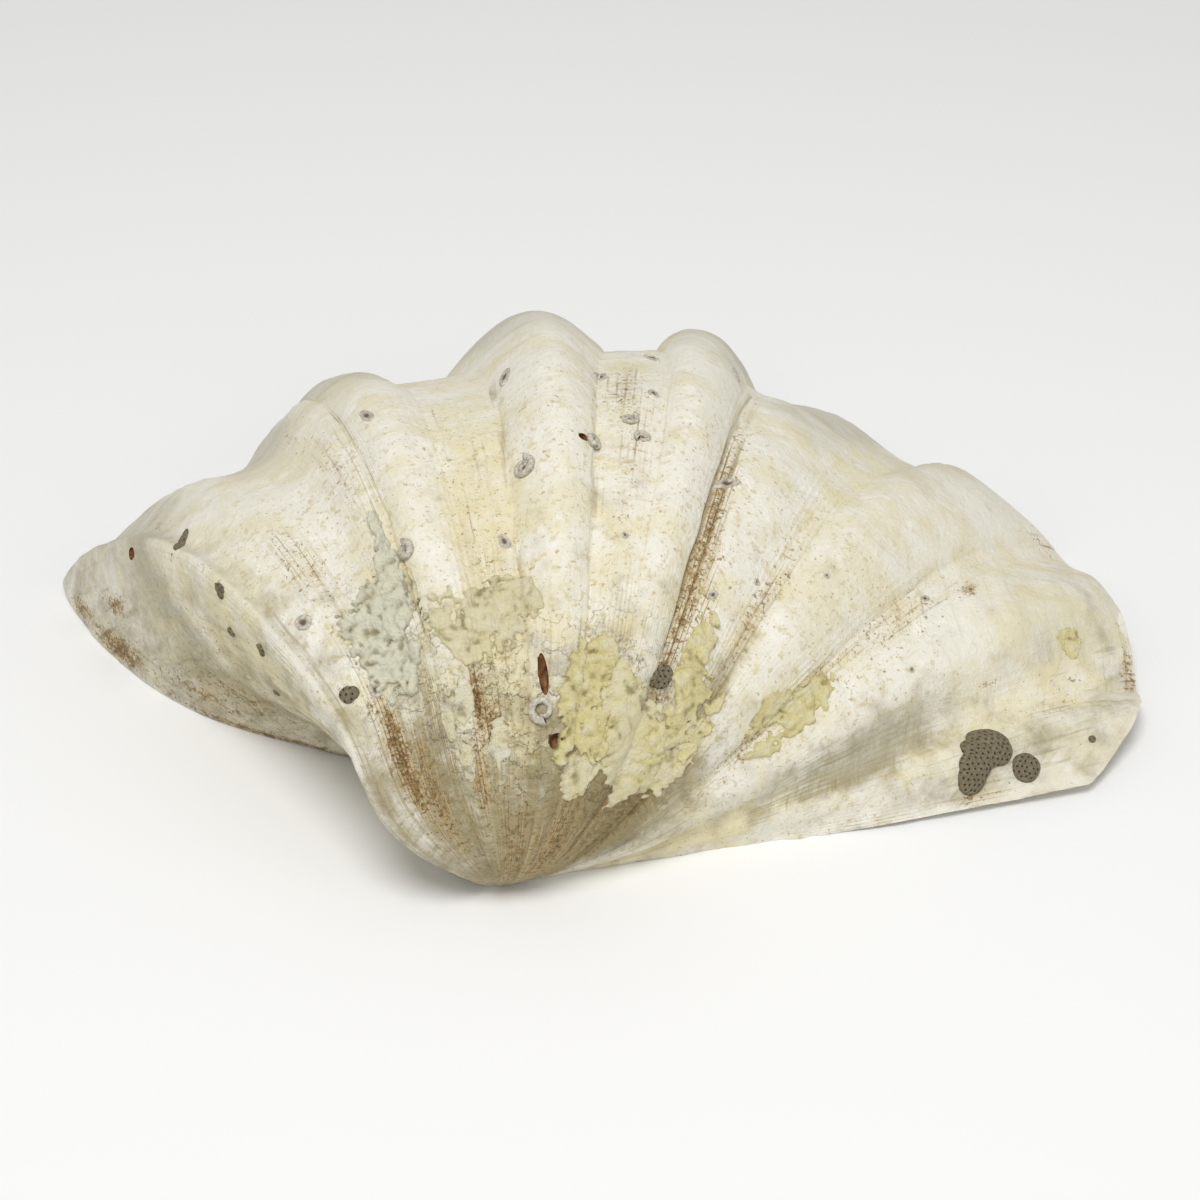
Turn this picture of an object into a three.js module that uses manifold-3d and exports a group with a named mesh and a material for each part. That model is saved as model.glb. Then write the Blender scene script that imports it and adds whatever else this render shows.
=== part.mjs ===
// Giant clam valve: one half of a giant clam's shell, lying hollow side down, with the corals,
// worm tubes and limy crusts that grew on its back.
//
// Millimetres, +Z up. The hinge line runs along +X and the scalloped margin lies towards +Y.
// Every point of the valve is named by two numbers. `u` counts along the margin, from the front end
// of the hinge (0) round the scallops to its rear end (21): even numbers from 4 to 20 are the crests
// of the folds and odd ones the valleys between them. `s` is the age of the shell there, from 0 at
// the tip of the umbo to 1 at the margin. The valve grows by turning about the hinge line and
// swelling at the same time, so that each growth line is a smaller, turned copy of the margin.

import * as THREE from 'three';
import Module from 'manifold-3d';

const wasm = await Module();
wasm.setup();

// ---- Driving dimensions ----

// The margin, measured from the tip of the umbo. Valleys come down to the ground.
const VALLEYS = [
  { at: 0, point: [-28, 2, 8] }, // front end of the hinge
  { at: 1, point: [-30, 84, 3] }, // byssal gape
  { at: 2, point: [-148, 168, 0] },
  { at: 3, point: [-220, 294, 1] }, // nose
  { at: 5, point: [-164, 356, 0.5] },
  { at: 7, point: [-83, 411, 5] },
  { at: 9, point: [6, 417, 0.5] },
  { at: 11, point: [183, 423, 0.5] },
  { at: 13, point: [262, 378, 0.5] },
  { at: 15, point: [344, 297, 0.5] },
  { at: 17, point: [397, 207, 2] },
  { at: 19, point: [390, 70, 12] },
  { at: 21, point: [336, -2, 9] }, // rear end of the hinge
];

// The crests of the folds where they meet the margin, arching clear of the ground.
const CRESTS = [
  { at: 3, point: [-220, 294, 1] },
  { at: 4, point: [-200, 304, 18] }, // keel, the sharp ridge behind the byssal gape
  { at: 6, point: [-113, 352, 20] },
  { at: 8, point: [-58, 385, 62] },
  { at: 10, point: [98, 433, 67] }, // the two great folds
  { at: 12, point: [223, 402, 53] },
  { at: 14, point: [287, 311, 47] },
  { at: 16, point: [338, 239, 55] },
  { at: 18, point: [390, 125, 39] },
  { at: 20, point: [374, 32, 21] }, // low fold along the hinge
  { at: 21, point: [336, -2, 9] },
];

const FIRST_FOLD = 3;
const LAST_FOLD = 21;

// Growth
const CURL = THREE.MathUtils.degToRad(168); // turn about the hinge from umbo to margin
const CURL_RATE = 0.55; // below 1, the early shell turns faster
const REAR_SPREAD = 0.14; // how much wider the young shell was towards the rear
const FRONT_TO_REAR = 60; // width of the band where the front's way of growing becomes the rear's
const UMBO_SWELL = { size: 0.34, at: 0.18, width: 0.11 }; // rounded shoulder of the umbo, front side

// Folds: where the crest meets the margin, the half widths there towards the front and the rear,
// in units of u, and how pointed the fold is. Where it stood otherwise in the young shell, `young`
// says where its crest was and how wide its halves were.
const FOLDS = [
  { crest: 4, halves: [0.95, 0.87], point: 1.05 },
  { crest: 6, halves: [0.86, 1], point: 0.95 },
  { crest: 8, halves: [0.91, 0.76], point: 1.2, young: { crest: 8.1, halves: [0.74, 0.74] } },
  { crest: 9.93, halves: [0.72, 0.72], point: 0.85, young: { crest: 10.12, halves: [0.5, 0.5] } },
  { crest: 12, halves: [1, 0.68], point: 0.85, young: { crest: 12.32, halves: [0.73, 0.73] } },
  { crest: 14, halves: [0.84, 0.79], point: 1.15 },
  { crest: 16, halves: [0.78, 1], point: 0.85 },
  { crest: 18, halves: [0.84, 0.81], point: 1.15 },
  { crest: 20, halves: [0.85, 0.94], point: 1.05 },
];
const FOLD_SETTLING = { from: 0.6, over: 0.35 }; // age over which the folds move to where they end
const MEAN_LEVEL = 0.45; // height of the unfolded young shell between valley and crest
const RELIEF_AT_UMBO = 0.18;
const RELIEF_GROWTH = 1.6;
const KEEL_HOLD = { size: 0.6, at: 4, width: 1.3 }; // the keel is strong from the start
const REAR_HOLD = { size: 0.42, at: 19, width: 1.6 };

// Wall, measured towards the middle of the hollow near the umbo, and square to the shell elsewhere
const HEART = new THREE.Vector3(70, 190, 55); // a point in the middle of the hollow
const SQUARE_SHARE = 0.85; // of the wall's direction that is square to the shell, away from the umbo
const SQUARE_AGE = { from: 0.25, over: 0.35 };
const MARGIN_WALL = 7;
const BODY_WALL = 14;
const UMBO_WALL = 36;
const HINGE_PLATE = 26;
const MARGIN_TAPER = 0.3; // of the shell's age, where the wall thins to the margin
const UMBO_TAPER = 4; // power with which the wall thins away from the umbo
const FRONT_HINGE = { from: 1, over: -1 }; // where along the margin the hinge plate builds up
const REAR_HINGE = { from: 19.5, over: 1.5 };
const HINGE_AGE = { from: 0.95, over: -0.4 }; // and where it fades towards the margin
const INNER_FOLD_AGE = { from: 0.45, over: 0.5 }; // where the folds come to show on the inner face
const LIP_LEVEL = 20; // the lip slopes towards this height in the middle of the hollow
const HOLLOW_START = 0.13; // age at which the hollow of the umbo ends
const HOLLOW_OVERSHOOT = 0.09; // how far past the margin the hollow's cutter reaches
const CUTTER_DEPTH = 60;

const WORN_OFF = 1.5; // the shell is worn flat by this much where it rests
const BLOCK = [2000, 200]; // half width and depth of the block that wears it flat

// Grid
const COLUMNS_PER_UNIT = 4;
const OUTER_ROWS = 22;
const INNER_ROWS = 12;
const ROW_CROWDING = 1.35; // above 1, rows crowd towards the umbo
const FOOTING_STEP = 0.01; // in u and s, over which the slope of a face is measured

const GAP = 1.4; // air between the valve and what grew on it
const CUSHION_EDGE = 0.35; // height of a growth's edge, as a share of its height
const CUSHION_FLATNESS = 0.98; // below 1, the edge stands up a little

// Corals: place on the valve, half sizes across and along the folds, height, and how uneven the
// outline is
const CORALS = [
  { name: 'kidney_coral', u: 20.0, s: 0.74, across: 16.5, along: 14.5, height: 4.5, waist: 0.22 },
  { name: 'round_coral', u: 20.33, s: 0.818, across: 7.5, along: 8, height: 3.5, waist: 0 },
  { name: 'middle_coral', u: 13.2, s: 0.314, across: 6, along: 8, height: 3, waist: 0.05 },
  { name: 'keel_coral', u: 4.4, s: 0.367, across: 5, along: 5, height: 2.5, waist: 0 },
];
const CORAL_GRID = { rings: 3, segments: 12 };

// Coiled worm tubes: place, radius of the coil's middle line, radius of the tube, turns, start angle
const WORM_COILS = [
  { name: 'worm_coil_crest', u: 9.75, s: 0.512, coil: 5.2, tube: 1.5, turns: 0.86, start: 0.4 },
  { name: 'worm_coil_dip', u: 10.6, s: 0.533, coil: 4.4, tube: 1.5, turns: 0.84, start: 2.6 },
  { name: 'worm_coil_front', u: 7.73, s: 0.462, coil: 4.2, tube: 1.4, turns: 0.84, start: 1.8 },
  { name: 'worm_coil_low', u: 9.86, s: 0.274, coil: 4.6, tube: 1.5, turns: 0.84, start: 4.4 },
  { name: 'worm_pair_near', u: 11.05, s: 0.562, coil: 3.4, tube: 1.1, turns: 0.84, start: 0.2 },
  { name: 'worm_pair_far', u: 11.27, s: 0.54, coil: 3.2, tube: 1.1, turns: 0.84, start: 3.4 },
];
const COIL_RISE = 0.5; // the last turn climbs by this share of the tube's width
const COIL_STEPS = 17; // in one turn
const COIL_CLOSING = 0.42; // share of its radius that a coil closes by in one turn
const TUBE_SIDES = 4;

// Limy crusts, given like the corals
const CRUSTS = [
  { name: 'front_crust', u: 5.65, s: 0.405, across: 20, along: 38, height: 2.2, waist: 0.12 },
  { name: 'upper_crust', u: 8.8, s: 0.358, across: 33, along: 21, height: 1.8, waist: 0.1 },
  { name: 'lower_crust', u: 10.95, s: 0.255, across: 15, along: 24, height: 2.2, waist: 0.12 },
];
const CRUST_GRID = { rings: 4, segments: 18 };

// ---- Materials ----

function material(colour, roughness) {
  return new THREE.MeshStandardMaterial({ color: colour, roughness, metalness: 0 });
}

const chalkyShell = material('#d8d3c0', 0.75);
const coralSkeleton = material('#77695a', 0.9);
const wormTube = material('#b5ab98', 0.8);
const limyCrust = material('#c9c39f', 0.85);

// ---- Shape of the valve ----

function smooth(value) {
  const t = THREE.MathUtils.clamp(value, 0, 1);
  return t * t * (3 - 2 * t);
}

// Rises smoothly from 0 at `from` to 1 at `from + over`.
function ramp(value, { from, over }) {
  return smooth((value - from) / over);
}

function bell(value, { size, at, width }) {
  return size * Math.exp(-(((value - at) / width) ** 2));
}

// Second derivatives of the natural cubic spline through `values` at the parameters `at`.
function splineBends(at, values) {
  const last = at.length - 1;
  const share = [0];
  const carry = [0];
  for (let i = 1; i < last; i++) {
    const before = at[i] - at[i - 1];
    const after = at[i + 1] - at[i];
    const slopes = (values[i + 1] - values[i]) / after - (values[i] - values[i - 1]) / before;
    const pivot = 2 * (before + after) - before * share[i - 1];
    share[i] = after / pivot;
    carry[i] = (6 * slopes - before * carry[i - 1]) / pivot;
  }
  const bends = new Array(last + 1).fill(0);
  for (let i = last - 1; i > 0; i--) {
    bends[i] = carry[i] - share[i] * bends[i + 1];
  }
  return bends;
}

function naturalSpline(knots) {
  const at = knots.map((knot) => knot.at);
  const bends = [0, 1, 2].map((axis) => splineBends(at, knots.map((knot) => knot.point[axis])));
  return (u) => {
    let i = 1;
    while (i < at.length - 1 && u > at[i]) {
      i++;
    }
    const step = at[i] - at[i - 1];
    const a = (at[i] - u) / step;
    const b = 1 - a;
    const blend = (axis) => {
      const straight = a * knots[i - 1].point[axis] + b * knots[i].point[axis];
      const bent = (a ** 3 - a) * bends[axis][i - 1] + (b ** 3 - b) * bends[axis][i];
      return straight + (bent * step * step) / 6;
    };
    return new THREE.Vector3(blend(0), blend(1), blend(2));
  };
}

const valleyLine = naturalSpline(VALLEYS);
const crestLine = naturalSpline(CRESTS);

// 1 on a crest, 0 in a valley.
function foldHeight(u, s) {
  if (u <= FIRST_FOLD || u >= LAST_FOLD) {
    return 0;
  }
  const settled = ramp(s, FOLD_SETTLING);
  const heights = FOLDS.map((fold) => {
    const young = fold.young ?? fold;
    const fromCrest = u - THREE.MathUtils.lerp(young.crest, fold.crest, settled);
    const side = fromCrest < 0 ? 0 : 1;
    const half = THREE.MathUtils.lerp(young.halves[side], fold.halves[side], settled);
    const phase = Math.min(Math.abs(fromCrest) / half, 1) * (Math.PI / 2);
    return Math.max(Math.cos(phase), 0) ** fold.point;
  });
  return Math.max(...heights);
}

// How much of the margin's folding the shell has at age s.
function relief(u, s) {
  const young = Math.min(RELIEF_AT_UMBO + bell(u, KEEL_HOLD) + bell(u, REAR_HOLD), 1);
  return young + (1 - young) * s ** RELIEF_GROWTH;
}

// The point of the growth line of age s whose height between valley and crest is `level`.
function growthPoint(u, s, level) {
  const point = valleyLine(u);
  if (u > FIRST_FOLD && u < LAST_FOLD) {
    point.lerp(crestLine(u), level);
  }
  const rear = 0.5 + 0.5 * Math.tanh(point.x / FRONT_TO_REAR);
  const spread = rear * REAR_SPREAD * (1 - s) ** 2 + (1 - rear) * bell(s, UMBO_SWELL);
  const turn = CURL * (1 - s ** CURL_RATE);
  return new THREE.Vector3(
    s * point.x * (1 + spread),
    s * (point.y * Math.cos(turn) - point.z * Math.sin(turn)),
    s * (point.y * Math.sin(turn) + point.z * Math.cos(turn)),
  );
}

function outerPoint(u, s) {
  return growthPoint(u, s, MEAN_LEVEL + relief(u, s) * (foldHeight(u, s) - MEAN_LEVEL));
}

function wall(u, s) {
  const body = MARGIN_WALL + (BODY_WALL - MARGIN_WALL) * smooth((1 - s) / MARGIN_TAPER);
  const umbo = (UMBO_WALL - BODY_WALL) * (1 - s) ** UMBO_TAPER;
  const nearHinge = ramp(u, REAR_HINGE) + ramp(u, FRONT_HINGE);
  const plate = (HINGE_PLATE - BODY_WALL) * nearHinge * ramp(s, HINGE_AGE);
  return body + umbo + plate;
}

// Directions across and along the folds on a face of the valve, and the way out of it.
function footing(face, u, s) {
  const step = FOOTING_STEP;
  const [before, after] = [Math.max(u - step, 0), Math.min(u + step, LAST_FOLD)];
  const across = face(after, s).sub(face(before, s)).divideScalar(after - before);
  const along = face(u, s + step).sub(face(u, s - step)).divideScalar(2 * step);
  return { across, along, normal: across.clone().cross(along).normalize() };
}

// The inner face follows the valleys; the folds show on it only near the margin.
function innerPoint(u, s) {
  const middle = (atU, atS) => {
    const folding = relief(atU, atS) * foldHeight(atU, atS);
    return growthPoint(atU, atS, folding * ramp(atS, INNER_FOLD_AGE));
  };
  const point = middle(u, s);
  const inward = HEART.clone().sub(point).normalize();
  const squareShare = SQUARE_SHARE * ramp(s, SQUARE_AGE);
  if (squareShare > 0) {
    inward.lerp(footing(middle, u, s).normal.negate(), squareShare).normalize();
  }
  return point.addScaledVector(inward, wall(u, s));
}

// ---- Mesh building ----

function solidMesh(name, geometry, surface) {
  const mesh = new THREE.Mesh(geometry, surface);
  mesh.name = name;
  return mesh;
}

function geometryOf(points, triangles) {
  const geometry = new THREE.BufferGeometry();
  const numbers = new Float32Array(points.flatMap((point) => [point.x, point.y, point.z]));
  geometry.setAttribute('position', new THREE.BufferAttribute(numbers, 3));
  geometry.setIndex(triangles);
  return geometry;
}

function toManifold(points, triangles) {
  const vertProperties = new Float32Array(points.flatMap((point) => [point.x, point.y, point.z]));
  const triVerts = new Uint32Array(triangles);
  return new wasm.Manifold(new wasm.Mesh({ numProp: 3, vertProperties, triVerts }));
}

function fromManifold(solid) {
  const { vertProperties, triVerts } = solid.getMesh();
  const geometry = new THREE.BufferGeometry();
  geometry.setAttribute('position', new THREE.BufferAttribute(new Float32Array(vertProperties), 3));
  geometry.setIndex(Array.from(triVerts));
  return geometry;
}

function addTriangle(triangles, a, b, c, forwards) {
  if (forwards) {
    triangles.push(a, b, c);
  } else {
    triangles.push(a, c, b);
  }
}

// Joins two lines of points that start and end side by side, whatever their counts.
function addStrip(triangles, first, second, forwards) {
  let i = 0;
  let j = 0;
  while (i < first.length - 1 || j < second.length - 1) {
    const firstNext = (i + 1) / (first.length - 1);
    const secondNext = (j + 1) / (second.length - 1);
    if (j === second.length - 1 || (i < first.length - 1 && firstNext <= secondNext)) {
      addTriangle(triangles, first[i], first[i + 1], second[j], forwards);
      i++;
    } else {
      addTriangle(triangles, first[i], second[j + 1], second[j], forwards);
      j++;
    }
  }
}

// Closes a ring of points with a fan round its own new middle point.
function addFan(points, triangles, ring, middle, forwards) {
  points.push(middle);
  const hub = points.length - 1;
  ring.forEach((index, i) => {
    addTriangle(triangles, hub, index, ring[(i + 1) % ring.length], forwards);
  });
}

// A large block under the valve, used to wear its lowest points flat.
function blockBelow(level) {
  const [half, depth] = BLOCK;
  const corners = [];
  for (const z of [level - depth, level]) {
    corners.push(new THREE.Vector3(-half, -half, z), new THREE.Vector3(half, -half, z));
    corners.push(new THREE.Vector3(half, half, z), new THREE.Vector3(-half, half, z));
  }
  const bottom = [0, 2, 1, 0, 3, 2];
  const top = [4, 5, 6, 4, 6, 7];
  const sides = [0, 1, 2, 3].flatMap((i) => {
    const next = (i + 1) % 4;
    return [i, next, next + 4, i, next + 4, i + 4];
  });
  return toManifold(corners, [...bottom, ...top, ...sides]);
}

// ---- The valve ----

const COLUMNS = LAST_FOLD * COLUMNS_PER_UNIT;

// The whole valve with its hollow still filled: the outer face from the tip of the umbo to the
// margin, closed below by a shallow cone that makes the lip.
function filledValve() {
  const points = [outerPoint(0, 0)];
  const triangles = [];
  let before = new Array(COLUMNS + 1).fill(0);
  const frontRay = [];
  const rearRay = [0];
  for (let row = 1; row <= OUTER_ROWS; row++) {
    const start = points.length;
    for (let column = 0; column <= COLUMNS; column++) {
      points.push(outerPoint(column / COLUMNS_PER_UNIT, (row / OUTER_ROWS) ** ROW_CROWDING));
    }
    const line = before.map((_, column) => start + column);
    for (let column = 0; column < COLUMNS; column++) {
      addTriangle(triangles, before[column], line[column + 1], line[column], true);
      if (row > 1) {
        addTriangle(triangles, before[column], before[column + 1], line[column + 1], true);
      }
    }
    frontRay.push(line[0]);
    rearRay.push(line[COLUMNS]);
    before = line;
  }
  const margin = before.slice(1, COLUMNS).reverse();
  const rim = [...rearRay, ...margin, ...frontRay.reverse()];
  addFan(points, triangles, rim, new THREE.Vector3(HEART.x, HEART.y, LIP_LEVEL), false);
  return toManifold(points, triangles);
}

// The hollow, as a solid that reaches a little past the margin.
function hollow() {
  const points = [];
  const triangles = [];
  const rings = [];
  for (let row = 0; row <= INNER_ROWS; row++) {
    const reach = 1 + HOLLOW_OVERSHOOT - HOLLOW_START;
    const s = HOLLOW_START + reach * (row / INNER_ROWS) ** ROW_CROWDING;
    const ring = [];
    for (let column = 0; column <= COLUMNS; column++) {
      points.push(innerPoint(column / COLUMNS_PER_UNIT, s));
      ring.push(points.length - 1);
    }
    rings.push(ring);
  }
  for (let row = 0; row < INNER_ROWS; row++) {
    rings[row].forEach((a, column) => {
      const next = (column + 1) % (COLUMNS + 1);
      const [b, c, d] = [rings[row][next], rings[row + 1][column], rings[row + 1][next]];
      addTriangle(triangles, a, d, c, true);
      addTriangle(triangles, a, b, d, true);
    });
  }
  const centre = new THREE.Vector3();
  rings[0].forEach((index) => centre.addScaledVector(points[index], 1 / rings[0].length));
  addFan(points, triangles, rings[0], centre, false);
  const below = new THREE.Vector3(HEART.x, HEART.y, -CUTTER_DEPTH);
  addFan(points, triangles, rings[INNER_ROWS], below, true);
  return toManifold(points, triangles);
}

function shellValve() {
  const solid = filledValve().subtract(hollow()).subtract(blockBelow(WORN_OFF));
  return solidMesh('shell_valve', fromManifold(solid), chalkyShell);
}

// ---- What grew on it ----

// A low cushion that follows the valve's back under it.
function cushion({ name, u, s, across, along, height, waist }, { rings, segments }, surface) {
  const middle = footing(outerPoint, u, s);
  const uPerMm = 1 / middle.across.length();
  const sPerMm = 1 / middle.along.length();
  const placed = (share, angle, level) => {
    const outline = 1 + waist * (Math.cos(2 * angle) + Math.sin(3 * angle));
    const reach = share * outline;
    const atU = u + reach * across * Math.cos(angle) * uPerMm;
    const atS = s + reach * along * Math.sin(angle) * sPerMm;
    return outerPoint(atU, atS).addScaledVector(footing(outerPoint, atU, atS).normal, level);
  };
  const domed = (share) => Math.sqrt(1 - CUSHION_FLATNESS * share * share);
  const points = [];
  const triangles = [];
  const levels = [
    (share) => GAP + height * (CUSHION_EDGE + (1 - CUSHION_EDGE) * domed(share)),
    () => GAP,
  ];
  const rims = levels.map((levelAt, side) => {
    const isTop = side === 0;
    points.push(placed(0, 0, levelAt(0)));
    let before = new Array(segments + 1).fill(points.length - 1);
    for (let ring = 1; ring <= rings; ring++) {
      const share = ring / rings;
      const start = points.length;
      for (let k = 0; k < segments; k++) {
        points.push(placed(share, (k / segments) * 2 * Math.PI, levelAt(share)));
      }
      const line = Array.from({ length: segments + 1 }, (_, k) => start + (k % segments));
      for (let k = 0; k < segments; k++) {
        addTriangle(triangles, before[k], line[k], line[k + 1], isTop);
        if (ring > 1) {
          addTriangle(triangles, before[k], line[k + 1], before[k + 1], isTop);
        }
      }
      before = line;
    }
    return before;
  });
  addStrip(triangles, rims[0], rims[1], false);
  return solidMesh(name, geometryOf(points, triangles), surface);
}

// A worm's tube, coiled flat on the valve's back.
function wormCoil({ name, u, s, coil, tube, turns, start }) {
  const middle = footing(outerPoint, u, s);
  const uPerMm = 1 / middle.across.length();
  const sPerMm = 1 / middle.along.length();
  const steps = Math.round(COIL_STEPS * turns);
  const line = [];
  for (let i = 0; i <= steps; i++) {
    const share = i / steps;
    const angle = start + share * turns * 2 * Math.PI;
    const radius = coil * (1 - COIL_CLOSING * turns * share);
    const atU = u + radius * Math.cos(angle) * uPerMm;
    const atS = s + radius * Math.sin(angle) * sPerMm;
    const level = GAP + tube * (1 + 2 * COIL_RISE * share);
    line.push(outerPoint(atU, atS).addScaledVector(footing(outerPoint, atU, atS).normal, level));
  }
  const section = new THREE.Shape();
  section.absarc(0, 0, tube, 0, 2 * Math.PI);
  const geometry = new THREE.ExtrudeGeometry(section, {
    curveSegments: TUBE_SIDES,
    steps,
    extrudePath: new THREE.CatmullRomCurve3(line),
  });
  return solidMesh(name, geometry, wormTube);
}

// ---- The whole object, standing on the ground with its middle over the origin ----

const clam = new THREE.Group();
clam.add(shellValve());
for (const coral of CORALS) {
  clam.add(cushion(coral, CORAL_GRID, coralSkeleton));
}
for (const coil of WORM_COILS) {
  clam.add(wormCoil(coil));
}
for (const crust of CRUSTS) {
  clam.add(cushion(crust, CRUST_GRID, limyCrust));
}

const box = new THREE.Box3().setFromObject(clam);
const middle = box.getCenter(new THREE.Vector3());
clam.position.set(-middle.x, -middle.y, -box.min.z);

export default clam;
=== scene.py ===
import itertools
import math

import bpy
import numpy as np
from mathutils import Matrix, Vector
from mathutils.kdtree import KDTree


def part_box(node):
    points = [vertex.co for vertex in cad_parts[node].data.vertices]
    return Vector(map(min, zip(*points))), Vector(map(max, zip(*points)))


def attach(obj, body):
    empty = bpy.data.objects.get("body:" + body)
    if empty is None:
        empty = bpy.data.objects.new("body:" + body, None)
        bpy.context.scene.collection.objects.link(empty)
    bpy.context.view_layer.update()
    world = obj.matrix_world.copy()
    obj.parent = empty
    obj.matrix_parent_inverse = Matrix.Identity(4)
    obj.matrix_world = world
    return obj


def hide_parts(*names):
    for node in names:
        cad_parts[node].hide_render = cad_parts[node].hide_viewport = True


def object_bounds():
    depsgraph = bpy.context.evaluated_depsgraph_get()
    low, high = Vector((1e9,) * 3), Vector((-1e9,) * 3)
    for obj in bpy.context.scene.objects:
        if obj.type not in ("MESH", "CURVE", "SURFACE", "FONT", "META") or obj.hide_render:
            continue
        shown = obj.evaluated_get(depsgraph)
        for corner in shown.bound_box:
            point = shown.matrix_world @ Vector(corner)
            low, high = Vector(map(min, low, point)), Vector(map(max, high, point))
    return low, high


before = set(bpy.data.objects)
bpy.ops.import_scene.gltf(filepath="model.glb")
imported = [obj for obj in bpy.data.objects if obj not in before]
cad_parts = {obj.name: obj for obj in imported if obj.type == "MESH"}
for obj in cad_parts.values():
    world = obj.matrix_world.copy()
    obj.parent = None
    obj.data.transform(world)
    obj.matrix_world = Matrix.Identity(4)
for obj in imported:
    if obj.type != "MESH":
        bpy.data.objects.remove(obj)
cad_low, cad_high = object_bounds()

# ---------------------------------------------------------------------------------------------
# The valve
# One half of a giant clam's shell: aragonite, laid down at the margin year by year, so that each
# growth line is a smaller, turned copy of the margin. Its back has weathered to chalk. It lies
# hollow side down, held by its own weight.
# ---------------------------------------------------------------------------------------------

# Lengths are in mm, from the tip of the umbo. `u` is a place along the margin, from the front end of
# the hinge (0) to its rear end (21), with crests of folds on the even numbers from 4 to 20. `s` is
# the age of the shell, from 0 at the tip of the umbo to 1 at the margin.
# The margin is given by its valleys, which come down to the ground, and its crests, which arch clear
# of it: place, then x, y and z.
VALLEYS = (
    (0, -28, 2, 8), (1, -30, 84, 3), (2, -148, 168, 0), (3, -220, 294, 1), (5, -164, 356, 0.5),
    (7, -83, 411, 5), (9, 6, 417, 0.5), (11, 183, 423, 0.5), (13, 262, 378, 0.5),
    (15, 344, 297, 0.5), (17, 397, 207, 2), (19, 390, 70, 12), (21, 336, -2, 9),
)
CRESTS = (
    (3, -220, 294, 1), (4, -200, 304, 18), (6, -113, 352, 20), (8, -58, 385, 62),
    (10, 98, 433, 67), (12, 223, 402, 53), (14, 287, 311, 47), (16, 338, 239, 55),
    (18, 390, 125, 39), (20, 374, 32, 21), (21, 336, -2, 9),
)
# Each fold's crest, half widths in front of it and behind it, and how pointed it is, at the margin,
# then its crest and half widths in the young shell.
FOLDS = (
    (4, 0.95, 0.87, 1.05, 4, 0.95, 0.87), (6, 0.86, 1.0, 0.95, 6, 0.86, 1.0),
    (8, 0.91, 0.76, 1.2, 8.1, 0.74, 0.74), (9.93, 0.72, 0.72, 0.85, 10.12, 0.5, 0.5),
    (12, 1.0, 0.68, 0.85, 12.32, 0.73, 0.73), (14, 0.84, 0.79, 1.15, 14, 0.84, 0.79),
    (16, 0.78, 1.0, 0.85, 16, 0.78, 1.0), (18, 0.84, 0.81, 1.15, 18, 0.84, 0.81),
    (20, 0.85, 0.94, 1.05, 20, 0.85, 0.94),
)
FIRST_FOLD, LAST_FOLD = 3, 21
FOLD_SETTLING = (0.6, 0.95)  # ages over which the folds move to where they end
MEAN_LEVEL = 0.45  # height of the unfolded young shell between valley and crest
RELIEF_AT_UMBO = 0.18
RELIEF_GROWTH = 1.6
KEEL_HOLD = (0.6, 4, 1.3)  # the keel is strong from the start: size, place and width
REAR_HOLD = (0.42, 19, 1.6)
CURL = math.radians(168)  # turn about the hinge line from umbo to margin
CURL_RATE = 0.55  # below 1, the early shell turns faster
REAR_SPREAD = 0.14  # how much wider the young shell was towards the rear
FRONT_TO_REAR = 60  # width of the band where the front's way of growing becomes the rear's
UMBO_SWELL = (0.34, 0.18, 0.11)  # rounded shoulder of the umbo, front side: size, age and width
MM = 0.001


def smooth(value):
    """Goes from 0 to 1 with no kink at either end."""
    value = np.clip(value, 0, 1)
    return value * value * (3 - 2 * value)


def ramp(value, start, end):
    """Rises smoothly from 0 at start to 1 at end."""
    return smooth((np.asarray(value, float) - start) / (end - start))


def spline(knots):
    """The natural cubic curve through rows of (where, x, y, z)."""
    at = np.array([knot[0] for knot in knots], float)
    values = np.array([knot[1:] for knot in knots], float)
    system = np.eye(len(at))
    right = np.zeros_like(values)
    for i in range(1, len(at) - 1):
        before, after = at[i] - at[i - 1], at[i + 1] - at[i]
        system[i, i - 1:i + 2] = before, 2 * (before + after), after
        right[i] = 6 * ((values[i + 1] - values[i]) / after - (values[i] - values[i - 1]) / before)
    bends = np.linalg.solve(system, right)

    def curve(where):
        i = np.clip(np.searchsorted(at, where), 1, len(at) - 1)
        step = at[i] - at[i - 1]
        a = ((at[i] - where) / step)[..., None]
        b = 1 - a
        bent = (a**3 - a) * bends[i - 1] + (b**3 - b) * bends[i]
        return a * values[i - 1] + b * values[i] + bent * (step**2)[..., None] / 6

    return curve


def bell(value, size, at, width):
    """A rounded rise of that size and width round a place."""
    return size * np.exp(-(((value - at) / width) ** 2))


valley_line = spline(VALLEYS)
crest_line = spline(CRESTS)


def fold_height(u, s):
    """1 on a crest, 0 in a valley."""
    settled = ramp(s, *FOLD_SETTLING)
    height = np.zeros(np.broadcast(u, s).shape)
    for crest, front, rear, point, young_crest, young_front, young_rear in FOLDS:
        from_crest = u - young_crest - (crest - young_crest) * settled
        young_half = np.where(from_crest < 0, young_front, young_rear)
        half = young_half + (np.where(from_crest < 0, front, rear) - young_half) * settled
        phase = np.minimum(np.abs(from_crest) / half, 1) * math.pi / 2
        height = np.maximum(height, np.maximum(np.cos(phase), 0) ** point)
    return np.where((u > FIRST_FOLD) & (u < LAST_FOLD), height, 0)


def fold_relief(u, s):
    """How much of the margin's folding the shell has at that age."""
    young = np.minimum(RELIEF_AT_UMBO + bell(u, *KEEL_HOLD) + bell(u, *REAR_HOLD), 1)
    return young + (1 - young) * s**RELIEF_GROWTH


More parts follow.
